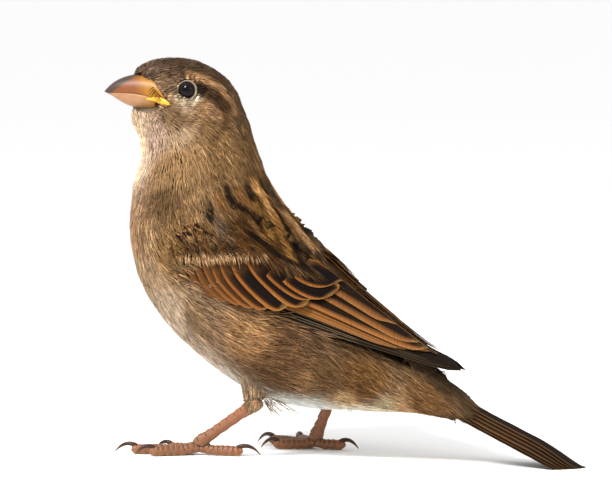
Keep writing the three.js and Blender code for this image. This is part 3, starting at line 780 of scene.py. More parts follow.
# The skin lies below the feathers' tips, less deep on the face and deeper behind the bill's horn.
skinDepth = {"face": 0.45, "rest": 0.85, "behindHorn": 1.9}
skin = closedForm(fleshNodes, "skin", **closing["skin"])
skinPlaces = vertexPlaces(skin)
skinHead = straight(onBird(skinPlaces))
foreFace = smooth(-skinHead[:, 0], 19, 24) * smooth(skinHead[:, 2], 74, 79)
faceShare = np.maximum(foreFace, 1 - smooth(eyeDistance(skinHead), 4, 7))
depth = skinDepth["rest"] + (skinDepth["face"] - skinDepth["rest"]) * faceShare
skinHead = straight(onBird(skinPlaces - vertexNormals(skin) * depth[:, None] * mm))
behind = insideOutline(skinHead[:, [0, 2]], hornOutline)
narrowed = np.maximum(1 - skinDepth["behindHorn"] / np.maximum(abs(skinHead[:, 1]), 0.1), 0.1)
skinHead[:, 1] *= np.where(behind, narrowed, 1)
skinPlaces = inFrame(turnBy(skinHead, turnAngle(skinHead)))
moveVertices(skin, skinPlaces)
# The skin takes the plumage's colour darkened to a quarter: dark down, and painted shade between the
# feathers.
paint(skin.data, plumage(skinPlaces) * 0.25)
finishPiece(skin, downAndGapShade, "body_plumage", *fleshNodes)
print("skin", len(skin.data.polygons), "faces")


# Each form point goes to a zone of the coat, and none roots on the bill or the eyes. The head's zones part
# at slanting levels, and the others along the bird.
parting = {"slant": 0.2, "face": 76, "faceRear": -22.5, "eyeRing": 5, "head": 71, "neck": 58,
           "shoulders": 59, "rump": 24, "tailBase": 43, "rumpEnd": 50, "besideEye": 0.5, "lowest": 8}
eyeGap = eyeDistance(headPlaces)
onHorn = insideOutline(headPlaces[:, [0, 2]], hornOutline)
free = ofFlesh | (headPlaces[:, 2] > 74) | (birdPlaces[:, 0] < -6)
free &= ~onHorn & ~ofTail & ~ofWing & ~ofBack
free &= (eyeGap > eye["radius"] + parting["besideEye"]) & (birdPlaces[:, 2] > parting["lowest"])
level = headPlaces[:, 2] - parting["slant"] * (headPlaces[:, 0] - neck["front"])
isFace = (headPlaces[:, 0] < parting["faceRear"]) | (eyeGap < parting["eyeRing"])
isFace &= level > parting["face"]
isHead = (level > parting["head"]) & ~isFace
isNeck = (level > parting["neck"]) & ~isFace & ~isHead & (birdPlaces[:, 2] > parting["shoulders"])
isRump = ~isNeck & ~isHead & ~isFace & (birdPlaces[:, 0] > parting["rump"])
isBody = ~isNeck & ~isHead & ~isFace & ~isRump & ~ofThigh
isTailBase = isRump & (birdPlaces[:, 0] > parting["tailBase"])
isRump &= birdPlaces[:, 0] < parting["rumpEnd"]
zones = {"face": isFace, "head": isHead, "neck": isNeck, "body": isBody, "rump": isRump, "thigh": ofThigh,
         "tail_base": isTailBase}
for zone, isZone in zones.items():
    coat = coats[zone]
    barbs = contourFeathers(*rootedAt(np.flatnonzero(free & isZone), coat["spacing"]), coat)
    if zone in ("rump", "tail_base"):  # none ends in the air between the wing and the tail
        tips = barbs[0][:, 3]
        near = np.minimum(distanceTo(fleshTree, tips), distanceTo(tailTree, tips)) < 0.9 * mm
        barbs = tuple(part[near] for part in barbs)
    barbPieces(f"coat_{zone}", coat["slot"], barbs)


def onSide(places, side):  # from x and z beside the bird to the outer form
    points = inFrame(np.array([(x, side * 40, z) for x, z in places], float))
    found, outs = np.empty_like(points), np.empty_like(points)
    for i, point in enumerate(points):
        found[i], outs[i] = formTree.ray_cast(Vector(point), Vector((0, -side, 0)))[:2]
    return found, outs


def alongRow(ends, count):
    return mix(ends[0], ends[1], np.linspace(0, 1, count))


def coveredRow(row, sign):  # roots, ways out and ways back of a row of feathers, read from the side
    roots, outs = onSide(alongRow(row["roots"], row["feathers"]), sign)
    tips, _ = onSide(alongRow(row["tips"], row["feathers"]), sign)
    return roots, outs, laidOn(outs, tips - roots)


def barColour(places, s, t, feather):  # median coverts: black with a broad buff tip
    colour = mix(linear("1c150f"), linear("5c4026"), smooth(np.abs(t), 0.5, 0.9))
    return mix(colour, linear("b8926a"), smooth(s + 0.05 * np.abs(t), 0.66, 0.8))


def lesserColour(places, s, t, feather):  # lesser coverts: brown with a dark middle
    colour = mix(linear("1c130c"), linear("624224"), smooth(np.abs(t), 0.3, 0.75))
    return mix(colour, linear("785631"), smooth(s, 0.85, 1))


coverts = {
    "lesser": {"spacing": 1.7, "length": 5.0, "fan": 2.2, "barbs": 11, "width": 0.22, "depth": 0.7,
               "lift": 0.2},
    "median": {"length": 7.0, "fan": 2.6, "barbs": 19, "width": 0.24, "depth": 0.7, "lift": 0.35},
}
lesserZone = {"low": 49.5, "rear": 12}
medianRow = {"roots": [(-7.6, 50.2), (7.2, 50.2)], "tips": [(-6.6, 45.8), (9.4, 45.2)], "feathers": 9}
within = np.flatnonzero(isBackAt(onBird(backPlaces)) & (distanceTo(formTree, backPlaces) < 5 * mm))
rooted = rootedAt(within, coats["back"]["spacing"], backPlaces, backOuts)
barbPieces("coat_back", coats["back"]["slot"], contourFeathers(*rooted, coats["back"], backColour, onBack))
for side, sign in sides.items():
    beside = ofWing & ~ofBack & (birdPlaces[:, 1] * sign > 0)
    beside &= (birdPlaces[:, 2] > lesserZone["low"]) & (birdPlaces[:, 0] < lesserZone["rear"])
    rooted = rootedAt(np.flatnonzero(beside), coverts["lesser"]["spacing"])
    lesser = contourFeathers(*rooted, coverts["lesser"], lesserColour)
    median = contourFeathers(*coveredRow(medianRow, sign), coverts["median"], barColour)
    barbs = tuple(np.concatenate(pair) for pair in zip(lesser, median))
    made = barbPieces(f"coat_coverts_{side}", "shoulder_feathers", barbs)
    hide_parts(f"wing_{side}_shoulder")
print("coverts ready")


# The folded wing's long feathers lie on one sheet beside the body; a place on it is an x, a z and a lift.
wing = {
    "lower": [(-13, 15.3, 45.8), (-8, 16.6, 42), (10, 17.6, 34.7), (30, 13.4, 28.8), (43, 6.2, 24.9),
              (56, 0.7, 20.4)],
    "upper": [(-13, 15, 49.6), (-3, 10.6, 57.6), (13, 3, 48.8), (30, 0.3, 36.6), (43, 0.3, 28),
              (50, 0.4, 24.9), (56, 0.5, 21.2)],
    "tip": 56, "flatten": 46, "bulge": 4, "lean": 0.6, "step": 1.02, "clear": 0.2, "tilt": 0.13,
}


def edgeAt(edge, x):  # a smooth curve through the edge's points, read by x
    points = np.array(wing[edge], float)
    padded = np.vstack([2 * points[0] - points[1], points, 2 * points[-1] - points[-2]])
    f = np.linspace(0, 1, 25)[:, None]
    lines = []
    for a, b, c, d in zip(padded, padded[1:], padded[2:], padded[3:]):
        lines.append(0.5 * (2 * b + (c - a) * f + (2 * a - 5 * b + 4 * c - d) * f ** 2
                            + (3 * b - a - 3 * c + d) * f ** 3))
    curve = np.concatenate(lines)
    return np.interp(x, curve[:, 0], curve[:, 1]), np.interp(x, curve[:, 0], curve[:, 2])


def wingSheet(x, z):
    lowY, lowZ = edgeAt("lower", x)
    highY, highZ = edgeAt("upper", x)
    v = np.clip((z - lowZ) / np.maximum(highZ - lowZ, 1.5), -0.2, 1.2)
    fade = smooth(wing["tip"] - x, 0, wing["flatten"])
    return lowY * (1 - v) + highY * v + 4 * wing["bulge"] * fade * v * (1 - v)


def onWing(side, x, z, lift):
    sheet = wingSheet(x, z)
    slope = (wingSheet(x, z + 1) - wingSheet(x, z - 1)) / 2
    lean = np.clip(-slope, -wing["lean"], wing["lean"]) * smooth(wing["tip"] - x, 0, wing["flatten"])
    length = np.sqrt(1 + lean ** 2)
    y = side * (sheet + lift / length)
    return inFrame(np.stack([x, y, z + lift * lean / length], axis=-1))


vaneColumns = np.array([-1, -0.93, -0.8, -0.62, -0.4, -0.2, -0.07, 0, 0.07, 0.2, 0.4, 0.62, 0.8, 0.93, 1])
vaneRows = 24
# The feathers of each row run from the lowest to the highest, each lying over the one below it. Places
# are x and z on the sheet; a width is the whole vane's in millimetres.
wingFeathers = {
    "primaries": {"layer": 0, "roots": [(-4, 41.6), (6, 43.6)], "tips": [(53.4, 22.0), (44.5, 26.0)],
                  "count": 7, "bow": 0.4, "width": 4.6, "shaft": 0.27, "pointed": 0.2, "below": 0.3,
                  "tones": ("17120e", "130f0b", "8f7857", "241c15"), "fringe": 0.07, "soft": 0.02,
                  "web": (0.3, 0.6)},
    "secondaries": {"layer": 1, "roots": [(-2, 43), (7, 44.2)], "tips": [(40, 27.7), (47.8, 26.1)],
                    "count": 6, "bow": 0.8, "width": 4.6, "shaft": 0.3, "pointed": 0.14, "below": 0.3,
                    "tones": ("1a120c", "533419", "82552b", "7c5c3a"), "fringe": 0.28, "web": (0.1, 0.3)},
    "tertials": {"layer": 2, "feathers": [((9, 43), (45.6, 26.9)), ((11, 45.6), (43.1, 28.6)),
                                          ((12, 47.6), (37.1, 32.8))],
                 "bow": 0, "width": 4.6, "shaft": 0.36, "pointed": 0.16, "below": 0, "sink": (0.8, 0.2),
                 "tones": ("191109", "1d130b", "80512a", "a07848"), "fringe": 0.36, "web": (0.2, 0.4)},
    "primary_coverts": {"layer": 1.9, "roots": [(-10, 45.4), (-6.6, 46)],
                        "tips": [(-2.6, 39.6), (4.5, 37.6)], "count": 4, "bow": -0.8, "width": 3.0,
                        "shaft": 0.4, "pointed": 0.2, "below": 0.5,
                        "tones": ("170f09", "170f09", "7e4c22", "6d4b2a"), "fringe": 0.4,
                        "web": (0.2, 0.5)},
    "greater_coverts": {"layer": 3, "feathers": [
        ((-7.5, 48), (-0.4, 41.0)), ((-6, 48.4), (3.2, 39.4)), ((-4.2, 48.6), (6.6, 38.2)),
        ((-2.4, 48.4), (9.7, 37.2)), ((-0.5, 48.4), (12.8, 36.4)), ((1.6, 48.6), (16.3, 35.6)),
        ((4.6, 48.8), (20.4, 35.8)),
        ((8.2, 47.2), (21.6, 37.4)), ((12.0, 45.4), (24.2, 38.0)), ((14.6, 45.6), (23.8, 40.8))],
        "bow": -1.2, "width": 4.3, "shaft": 0.4, "pointed": 0.2, "below": 0,
        "sink": (1.4, 0.35), "sinkFrom": 7,
        "tones": ("110b06", "140d07", "78481f", "a0733f"), "fringe": 0.28, "web": (0.5, 0.8)},
}


def vaneWidths(s, kind):  # half width along the feather, before and behind the shaft
    body = 1 - kind.get("waist", 0.38) * (1 - smooth(s, 0, 0.35))
    tip = np.sqrt(np.clip(1 - np.clip((s - 1 + kind["pointed"]) / kind["pointed"], 0, 1) ** 2.2, 0.0004, 1))
    whole = kind["width"] * body * tip
    return whole * kind["shaft"], whole * (1 - kind["shaft"])


def vaneColours(s, c, kind):
    # Tones: the dark middle, the web beside it, the fringe and the tip. The outer web faces down.
    centre, web, fringe, tip = [linear(tone) for tone in kind["tones"]]
    outer = c < 0
    side = np.abs(c)
    colour = mix(centre, web, np.where(outer, smooth(side, *kind["web"]), 0))
    base = 1 - smooth(s, 0.16, 0.42)  # the hidden part of a covert is plain brown
    if kind["layer"] == 3:
        colour = mix(colour, linear("4d321c"), 0.8 * base)
    edge = 1 - kind["fringe"] * np.where(outer, 1, 0.35)
    colour = mix(colour, fringe, smooth(side, edge - kind.get("soft", 0.14), edge + 0.08))
    end = smooth(s, 1 - 0.3 * kind["pointed"], 1 - 0.05 * kind["pointed"])
    colour = mix(colour, tip, 0.8 * np.maximum(end, smooth(side, 0.9, 1) * (s > 0.6)))
    return mix(colour, linear("1a1410"), (side < 0.05) * 0.35)


def platePiece(name, kind, charts, slot, *nodes):
    # Charts holds a function for each feather, from the share along it and millimetres across and up to
    # the frame. A feather is a closed plate, thinner at its edges, with the shaft raised.
    s = np.linspace(0, 1, vaneRows) ** 0.9
    grid, c = np.meshgrid(s, vaneColumns, indexing="ij")
    lowHalf, highHalf = vaneWidths(grid, kind)
    across = np.where(c < 0, c * lowHalf, c * highHalf)
    thick = 0.05 + 0.09 * (1 - np.abs(c)) + 0.12 * (np.abs(c) < 0.08)
    rows, columns = grid.shape
    count = rows * columns
    index = np.arange(count).reshape(rows, columns)
    a, b = index[:-1, :-1], index[1:, :-1]
    d, e = index[:-1, 1:], index[1:, 1:]
    top = np.stack([a, d, e, b], axis=-1).reshape(-1, 4)
    under = top[:, ::-1] + count
    rim = np.concatenate([index[0, :], index[1:, -1], index[-1, -2::-1], index[-2:0:-1, 0]])
    after = np.roll(rim, -1)
    wall = np.stack([rim, rim + count, after + count, after], axis=-1)
    onePlate = np.concatenate([top, under, wall])
    shaft = columns // 2
    points, faces, tones, barbs, patches = [], [], [], [], []
    for number, chart in enumerate(charts):
        ripple = 0.02 * np.sin(grid * 37 + number * 5 + c * 3) * np.abs(c)
        upper = chart(grid, across, thick / 2 + ripple)
        lower = chart(grid, across, -thick / 2 + ripple)
        points += [upper.reshape(-1, 3), lower.reshape(-1, 3)]
        faces.append(onePlate + 2 * count * number)
        tone = vaneColours(grid, c, kind) * dice.normal(1, 0.06)
        if kind["layer"] == 3:  # the front coverts are browner, with a narrow dark shaft line
            plain = 0.85 * np.clip(1 - number / 4.5, 0, 1) * smooth(np.abs(c), 0.08, 0.3)
            tone = mix(tone, linear("5f3b1e"), plain)
        # The underside of each plate is painted a fifth darker than its top: painted shade.
        tones += [tone.reshape(-1, 3), tone.reshape(-1, 3) * 0.8]
        length = np.linalg.norm(upper[-1, shaft] - upper[0, shaft]) / mm
        barbs += [np.stack([across, grid * length + number * 60], axis=-1).reshape(-1, 2)] * 2
        cell = np.array([number % 4, number // 4]) / 4
        patches += [np.stack([cell[0] + 0.01 + 0.1 * (c + 1) / 2 + shift, cell[1] + 0.01 + 0.23 * grid],
                             axis=-1).reshape(-1, 2) for shift in (0, 0.12)]
    corners = np.concatenate(faces).ravel()
    colours = np.clip(np.concatenate(tones), *toneLimits)
    piece = meshFrom(name, np.concatenate(points), corners, np.full(len(corners) // 4, 4), colours)
    addMap(piece, "Barbs", np.concatenate(barbs)[corners])
    addMap(piece, "OFBake", np.concatenate(patches)[corners])
    outwards(piece)
    return finishPiece(piece, stiffVane, slot, *nodes)


def wingCharts(kind, side):
    pairs = kind.get("feathers") or list(zip(alongRow(kind["roots"], kind["count"]),
                                             alongRow(kind["tips"], kind["count"])))
    charts = []
    for number, (root, tip) in enumerate(pairs):
        root, tip = np.array(root, float), np.array(tip, float)
        way = unit(tip - root)
        up = np.array([-way[1], way[0]])
        wobble = dice.normal(0, 0.1)
        step = 0.35 * number / len(pairs)

        def chart(s, across, lift, root=root, tip=tip, up=up, wobble=wobble, step=step, number=number):
            bow = kind["bow"] * 4 * s * (1 - s) + across + wobble * s
            x = root[0] + (tip[0] - root[0]) * s + up[0] * bow
            z = root[1] + (tip[1] - root[1]) * s + up[1] * bow
            # Nothing stands above the row's upper edge.
            top = edgeAt("upper", x)[1] - kind["below"]
            z = np.where(z > top, top + 0.06 * (z - top), z)
            # The lower edge lies outermost, so that each feather slips under the next one up.
            depth, share = kind.get("sink", (0, 1))
            sunk = depth * (1 - smooth(s, 0, share)) * (number >= kind.get("sinkFrom", 0))
            layer = kind["layer"] * wing["step"] + wing["clear"] + step
            return onWing(side, x, z, layer - sunk - wing["tilt"] * across + lift)
        charts.append(chart)
    return charts


for side, sign in sides.items():
    for row, kind in wingFeathers.items():
        nodes = [] if row == "primary_coverts" else [f"wing_{side}_{row}"]
        slot = "greater_coverts" if row == "primary_coverts" else row
        platePiece(f"{row}_{side}", kind, wingCharts(kind, sign), slot, *nodes)
print("wing feathers ready")

# The tail: its feathers lie in an arch on each side, the outermost lowest and shortest. They start under
# the rump, and the right half lies a little higher than the left one.
tail = {"root": (53.6, 0.4, 13.4), "tip": (83.4, 1.6, -0.2), "rootHalf": 6.2, "tipHalf": 7.4, "arch": 1.5,
        "feathers": 6, "spread": 6.2, "start": -7.0, "inset": 1.2, "lowest": -2.0, "step": 0.3,
        "lean": 0.03, "beyond": 0.5, "shorter": 4.2, "above": 0.05}
tailFeather = {"width": 4.6, "shaft": 0.42, "pointed": 0.1,
               "tones": ("1a130e", "2a1e14", "614329", "4a3623"), "fringe": 0.14, "web": (0.3, 0.6),
               "layer": 0, "waist": 0}


def tailCharts(side):
    root, tip = np.array(tail["root"]), np.array(tail["tip"])
    length = np.linalg.norm(tip - root)
    axis = (tip - root) / length
    across = unit(np.cross([0, 0, 1], axis))
    normal = np.cross(axis, across)
    charts = []
    for number in range(tail["feathers"]):  # 0 is the outermost
        place = side * (1 - (number + 0.5) / tail["spread"])
        reach = length + tail["beyond"] - tail["shorter"] * (1 - number / (tail["feathers"] - 1)) ** 1.6

        def chart(s, wide, lift, place=place, reach=reach, number=number):
            along = tail["start"] + (reach - tail["start"]) * s
            f = np.clip(along / length, 0, 1)
            half = tail["rootHalf"] + (tail["tipHalf"] - tail["rootHalf"]) * f - tail["inset"]
            sideways = place * half - side * wide * np.clip(0.6 + s, 0, 1)
            height = tail["lowest"] + tail["step"] * number - tail["lean"] * wide + lift
            height = height + (tail["above"] if side > 0 else 0)
            arch = 1 - np.clip(np.abs(sideways) / half, 0, 1) ** 2
            height = height + tail["arch"] * arch * (1 - smooth(s, 0.65, 1))
            point = root + axis * along[..., None] + across * sideways[..., None]
            point += normal * height[..., None]
            # Nothing goes below the ground.
            point[..., 2] = np.maximum(point[..., 2], 0.02 + 0.3 * np.maximum(lift, 0))
            return inFrame(point)
        charts.append(chart)
    return charts


for side, sign in sides.items():
    platePiece(f"tail_feathers_{side}", tailFeather, tailCharts(sign), "tail", f"tail_{side}")
print("tail ready")

# Bill: the two halves, smoothed with their cutting edges kept, and painted from culmen to gape.
billTones = {"culmen": "3b2c25", "upper": "723e18", "lower": "9b714e", "base": "976611", "tip": "43322b",
             "nostril": "2b1c14"}
bill = {"nostril": (-28.9, 1.1, 89.9), "nostrilSize": (1.5, 1, 0.8), "sharp": 50, "crease": 0.7,
        "levels": 3, "meet": 0.22}


def billColour(places, part):
    x, y, z = places[:, 0], np.abs(places[:, 1]), places[:, 2]
    back = smooth(x + 0.35 * (z - 85), -30.5, -26)
    if part == "upper":
        colour = mix(linear(billTones["upper"]), linear(billTones["base"]), 0.9 * back)
        ridge = 90.6 - 0.36 * np.maximum(-30 - x, 0) ** 1.3
        colour = mix(colour, linear(billTones["culmen"]), smooth(z - ridge, -0.5, 0.3) * (1 - 0.5 * back))
    else:
        colour = mix(linear(billTones["lower"]), linear(billTones["base"]), 0.8 * back)
    colour = mix(colour, linear(billTones["tip"]), 0.7 * (1 - smooth(x, -38.3, -35.8)))
    # A dark spot is painted at the nostril: painted shade of its opening.
    if part == "upper":
        hole = np.linalg.norm((np.column_stack([x, y, z]) - bill["nostril"]) / bill["nostrilSize"], axis=1)
        colour = mix(colour, linear(billTones["nostril"]), 0.9 * (1 - smooth(hole, 0.25, 0.6)))
    return colour


for part, sign in (("upper", -1), ("lower", 1)):
    half = copyOf([f"bill_{part}"], f"bill_{part}_horn")
    intoQuads(half, bill["sharp"])
    bpy.ops.object.mode_set(mode="EDIT")
    bpy.ops.mesh.select_all(action="DESELECT")
    bpy.ops.mesh.edges_select_sharp(sharpness=math.radians(bill["sharp"]))
    bpy.ops.transform.edge_crease(value=bill["crease"])
    bpy.ops.object.mode_set(mode="OBJECT")
    applyModifier(half, "SUBSURF", levels=bill["levels"], render_levels=bill["levels"])
    # The cutting edges meet: each half's edge face is brought towards the other.
    facing = smooth(vertexNormals(half)[:, 2] * sign, 0.2, 0.7)
    places = vertexPlaces(half)
    places[:, 2] += sign * facing * bill["meet"] * mm
    moveVertices(half, places)
    paint(half.data, billColour(straight(onBird(vertexPlaces(half))), part))
    finishPiece(half, billHorn, f"bill_{part}", f"bill_{part}")

# The gape: a yellow fold of bare skin along the corner of the mouth, painted darker on its underside as
# painted shade, and dark bristles over it.
gape = {"line": [(-28.2, 4.45, 84.95), (-26.2, 5.4, 84.95), (-24.6, 6.3, 84.6), (-23.2, 7.2, 84.1),
                 (-22.3, 7.55, 83.8)],
        "tall": [0.15, 0.55, 0.85, 0.75, 0.3], "wide": [0.1, 0.36, 0.46, 0.42, 0.2],
        "tones": ("d69a1e", "a86f14")}
bristles = {"roots": [(-26.2, 5.0, 88.0), (-25.5, 5.4, 87.2), (-24.9, 5.9, 86.3), (-24.2, 6.3, 85.4)],
            "tips": [(-27.6, 4.8, 86.4), (-27.0, 5.3, 85.4), (-26.3, 5.8, 84.6), (-25.3, 6.4, 83.8)],
            "count": 9, "tone": "17100b", "widths": (0.19, 0.17, 0.13)}


def alongLine(points, share):
    points = np.array(points, float).reshape(len(points), -1)
    even = np.linspace(0, 1, len(points))
    return np.column_stack([np.interp(share, even, column) for column in points.T])


for side, sign in sides.items():
    bpy.ops.mesh.primitive_uv_sphere_add(segments=24, ring_count=32, radius=1)
    fold = bpy.context.active_object
    fold.name = f"gape_{side}"
    places = vertexPlaces(fold)
    share = np.degrees(np.arccos(np.clip(places[:, 2], -1, 1))) / 180
    ring = unit(places[:, :2] + 1e-9)
    centre = alongLine(gape["line"], share)
    tall, wide = alongLine(gape["tall"], share)[:, 0], alongLine(gape["wide"], share)[:, 0]
    swell = np.column_stack([0 * share, ring[:, 1] * wide, ring[:, 0] * tall])
    centre += swell * (np.sin(share * math.pi) > 0.01)[:, None]
    centre[:, 1] *= sign
    moveVertices(fold, onHead(centre))
    outwards(fold)
    # The fold's underside is painted darker: painted shade.
    top, under = gape["tones"]
    paint(fold.data, mix(linear(top), linear(under), 0.7 * smooth(-ring[:, 0], 0.2, 0.8)))
    finishPiece(fold, gapeSkin, "bill_lower")

    share = np.linspace(0, 1, bristles["count"])
    roots, tips = alongLine(bristles["roots"], share), alongLine(bristles["tips"], share)
    tips = tips + dice.normal(0, 0.25, tips.shape) * [1, 0, 1]
    stations = np.stack([mix(roots, tips, f) + [0, rise, 0.12 * math.sin(math.pi * f)]
                         for f, rise in ((0, -0.2), (0.35, 0.5), (0.7, 0.65), (1, 0.6))], axis=1)
    stations[:, :, 1] *= sign
    paths = onHead(stations).reshape(stations.shape)
    away = np.tile(unit(onHead([[-0.4, sign, 0.1]]) - onHead([[0, 0, 0]])), (len(paths), 1))
    width = np.tile(np.array(bristles["widths"]) * mm, (len(paths), 1))
    tone = np.tile(linear(bristles["tone"]), (len(paths), 4, 1))
    piece = barbMesh(f"rictal_bristles_{side}", paths, away, width, tone, paths[:, 0])
    finishPiece(piece, contourBarbs, "head_plumage")
print("bill ready")

# Eyes: a globe with a dark brown iris round a black pupil, turned a little forward, in a soft ring of lids
# that hugs it. The lids' section is given as degrees off the line of sight and millimetres from the middle.
eyeTones = {"pupil": "030202", "iris": "150c07", "rim": "060403"}
lid = {"section": [(58.5, 2.33), (57.5, 2.42), (59, 2.55), (65, 2.64), (74, 2.62), (84, 2.5), (88, 2.3),
                   (74, 2.2), (62, 2.2)],
       "steps": 56, "above": "857562", "below": "b3a28b", "edge": "2a2019"}


def offSight(piece, centre, look):  # degrees between the line of sight and each vertex
    return np.degrees(np.arccos(np.clip(unit(vertexPlaces(piece) - centre) @ look, -1, 1)))


for side, sign in sides.items():
    centre = eyeMiddle(sign)[0]
    look = unit(onHead([eye["look"][0], sign * eye["look"][1], eye["look"][2]])[0] - onHead([0, 0, 0])[0])
    radius = eye["radius"] * mm
    bpy.ops.mesh.primitive_uv_sphere_add(segments=64, ring_count=40, radius=radius, location=centre)
    globe = bpy.context.active_object
    globe.name = f"eyeball_{side}"
    globe.rotation_euler = Vector(look).to_track_quat("Z", "Y").to_euler()
    bpy.ops.object.transform_apply(location=True, rotation=True, scale=True)
    off = offSight(globe, centre, look)
    tone = mix(linear(eyeTones["pupil"]), linear(eyeTones["iris"]), smooth(off, 30, 34))
    paint(globe.data, mix(tone, linear(eyeTones["rim"]), smooth(off, 50, 58)))
    finishPiece(globe, wetEye, "eye", f"eye_{side}")

    aside = unit(np.cross(look, [0, 0, 1]))
    ring = [centre + mm * r * (math.cos(math.radians(a)) * look + math.sin(math.radians(a)) * aside)
            for a, r in lid["section"]]
    lidMesh = bpy.data.meshes.new(f"lids_{side}")
    lidMesh.from_pydata(ring, [(i, (i + 1) % len(ring)) for i in range(len(ring))], [])
    lids = bpy.data.objects.new(f"lids_{side}", lidMesh)
    bpy.context.scene.collection.objects.link(lids)
    editAll(lids, bpy.ops.mesh.spin, steps=lid["steps"], angle=2 * math.pi, center=centre, axis=look)
    editAll(lids, bpy.ops.mesh.remove_doubles, threshold=0.005 * mm)
    outwards(lids)
    applyModifier(lids, "SUBSURF", levels=1, render_levels=1)
    below = smooth(eye["place"][2] - straight(onBird(vertexPlaces(lids)))[:, 2], -1.5, 1)
    tone = mix(linear(lid["above"]), linear(lid["below"]), below)
    paint(lids.data, mix(linear(lid["edge"]), tone, smooth(offSight(lids, centre, look), 59, 63)))
    finishPiece(lids, lidSkin, "head_plumage")
print("eyes ready")

# Legs: bare tarsus and toes with plates in front and on top, and soft pads below. A toe runs from the
# ankle to the pad under its claw.
leg = {"radius": 1.32, "toe": 1.2, "shank": [1.15, 1.3, 1.02, 0.98, 1.3, 0.85],
       "digit": [1.1, 0.96, 1.0, 0.96, 0.45], "plates": 8, "toePlates": 1.25, "step": 0.2, "voxel": 0.13,
       "sample": 0.11, "around": 28, "soften": 4,
       "heelTone": "855033", "ankleTone": "744b2e", "soleTone": "a98345"}
legPlaces = {
    "left": {"heel": (4.9, -11.2, 13.3), "ankle": (-10.2, -11.3, 3.0),
             "pads": [(-0.6, -9.8), (-18.9, -8.6), (-25, -15.6), (-18.9, -18.2)]},
    "right": {"heel": (16.8, 10.5, 17.6), "ankle": (10.2, 11.4, 2.9),
              "pads": [(16.6, 12.2), (2, 7.6), (-3.2, 16.2), (2.6, 20)]},
}


def limb(path, radii, front, pitch):
    # A closed tube; on its front side the plates overlap like slates, each pitch millimetres long.
    path, front, ends = np.array(path, float), np.array(front, float), leg["soften"]
    lengths = np.concatenate([[0], np.cumsum(np.linalg.norm(np.diff(path, axis=0), axis=1))])
    samples = np.arange(0, lengths[-1], leg["sample"])
    kernel = np.ones(2 * ends + 1) / (2 * ends + 1)

    def softened(values):
        line = np.interp(samples, lengths, values)
        line[ends:-ends] = np.convolve(line, kernel, "valid")
        return line

    centre, radius = np.column_stack([softened(path[:, k]) for k in range(3)]), softened(radii)
    way = unit(np.gradient(centre, axis=0))
    ahead = unit(front - way * (way @ front)[:, None])
    side = np.cross(way, ahead)
    angle = np.linspace(0, 2 * math.pi, leg["around"], endpoint=False)
    facing = smooth(np.cos(angle), -0.15, 0.35)
    saw = (samples / pitch) % 1
    ridge = leg["step"] * (saw ** 0.8 * smooth(1 - saw, 0, 0.12) - 0.4)
    pads = 0.09 * np.sin(samples / pitch * 2.2) ** 2
    r = radius[:, None] * (1 + ridge[:, None] * facing + pads[:, None] * (1 - facing))
    rings = (centre[:, None, :] + ahead[:, None, :] * (r * np.cos(angle))[..., None]
             + side[:, None, :] * (r * np.sin(angle))[..., None])
    index = np.arange(r.size).reshape(r.shape)
    nextUp = np.roll(index, -1, axis=1)
    quads = np.stack([index[:-1], nextUp[:-1], nextUp[1:], index[1:]], axis=-1).reshape(-1, 4)
    corners = np.concatenate([quads.ravel(), index[0][::-1], index[-1]])
    return rings.reshape(-1, 3), corners, [4] * len(quads) + [leg["around"]] * 2


def legShade(places, side):
    heel, ankle = np.array(legPlaces[side]["heel"]), np.array(legPlaces[side]["ankle"])
    along = np.clip((places - heel) @ (ankle - heel) / ((ankle - heel) @ (ankle - heel)), 0, 1)
    tone = mix(linear(leg["heelTone"]), linear(leg["ankleTone"]), along)
    return mix(tone, linear(leg["soleTone"]), 0.6 * (1 - smooth(places[:, 2], 0, 0.7)))


heelCoat = {"spacing": 0.42, "length": 3.0, "fan": 0.8, "barbs": 5, "width": 0.17, "depth": 0.25,
            "lift": 0.16, "reach": 1.5, "tone": "8f7556", "way": (-0.3, 0, -0.95)}
clawTones = {"above": "3a2415", "under": "6a4526"}


def heelColour(places, s, t, feather):
    return linear(heelCoat["tone"]) * (0.5 + 0.5 * smooth(s, 0, 0.6) + 0.15 * smooth(s, 0.8, 1))[..., None]


def legParts(heel, ankle, pads):  # the shank and its toes, each a closed tube
    bend = heel + unit(heel - ankle) * 0.8
    path = [bend, heel, mix(heel, ankle, 0.3), mix(heel, ankle, 0.75), ankle, ankle + [0, 0, -1.4]]
    pitch = np.linalg.norm(heel - ankle) / leg["plates"]
    yield limb(path, leg["radius"] * np.array(leg["shank"]), (-1, 0, 0.5), pitch)
    start = ankle + [0, 0, -0.9]
    for pad in pads:
        end = np.array([pad[0], pad[1], 0.98 * leg["toe"]])
        middle = mix(start, end, 0.35) + [0, 0, -0.65]
        middle[2] = max(middle[2], 1.05 * leg["toe"])
        tip = end + unit((end - start) * [1, 1, 0]) * 1.1
        path = [start, middle, mix(middle, end, 0.5) + [0, 0, 0.1], end, tip + [0, 0, 0.25]]
        yield limb(path, leg["toe"] * np.array(leg["digit"]), (0, 0, 1), leg["toePlates"])


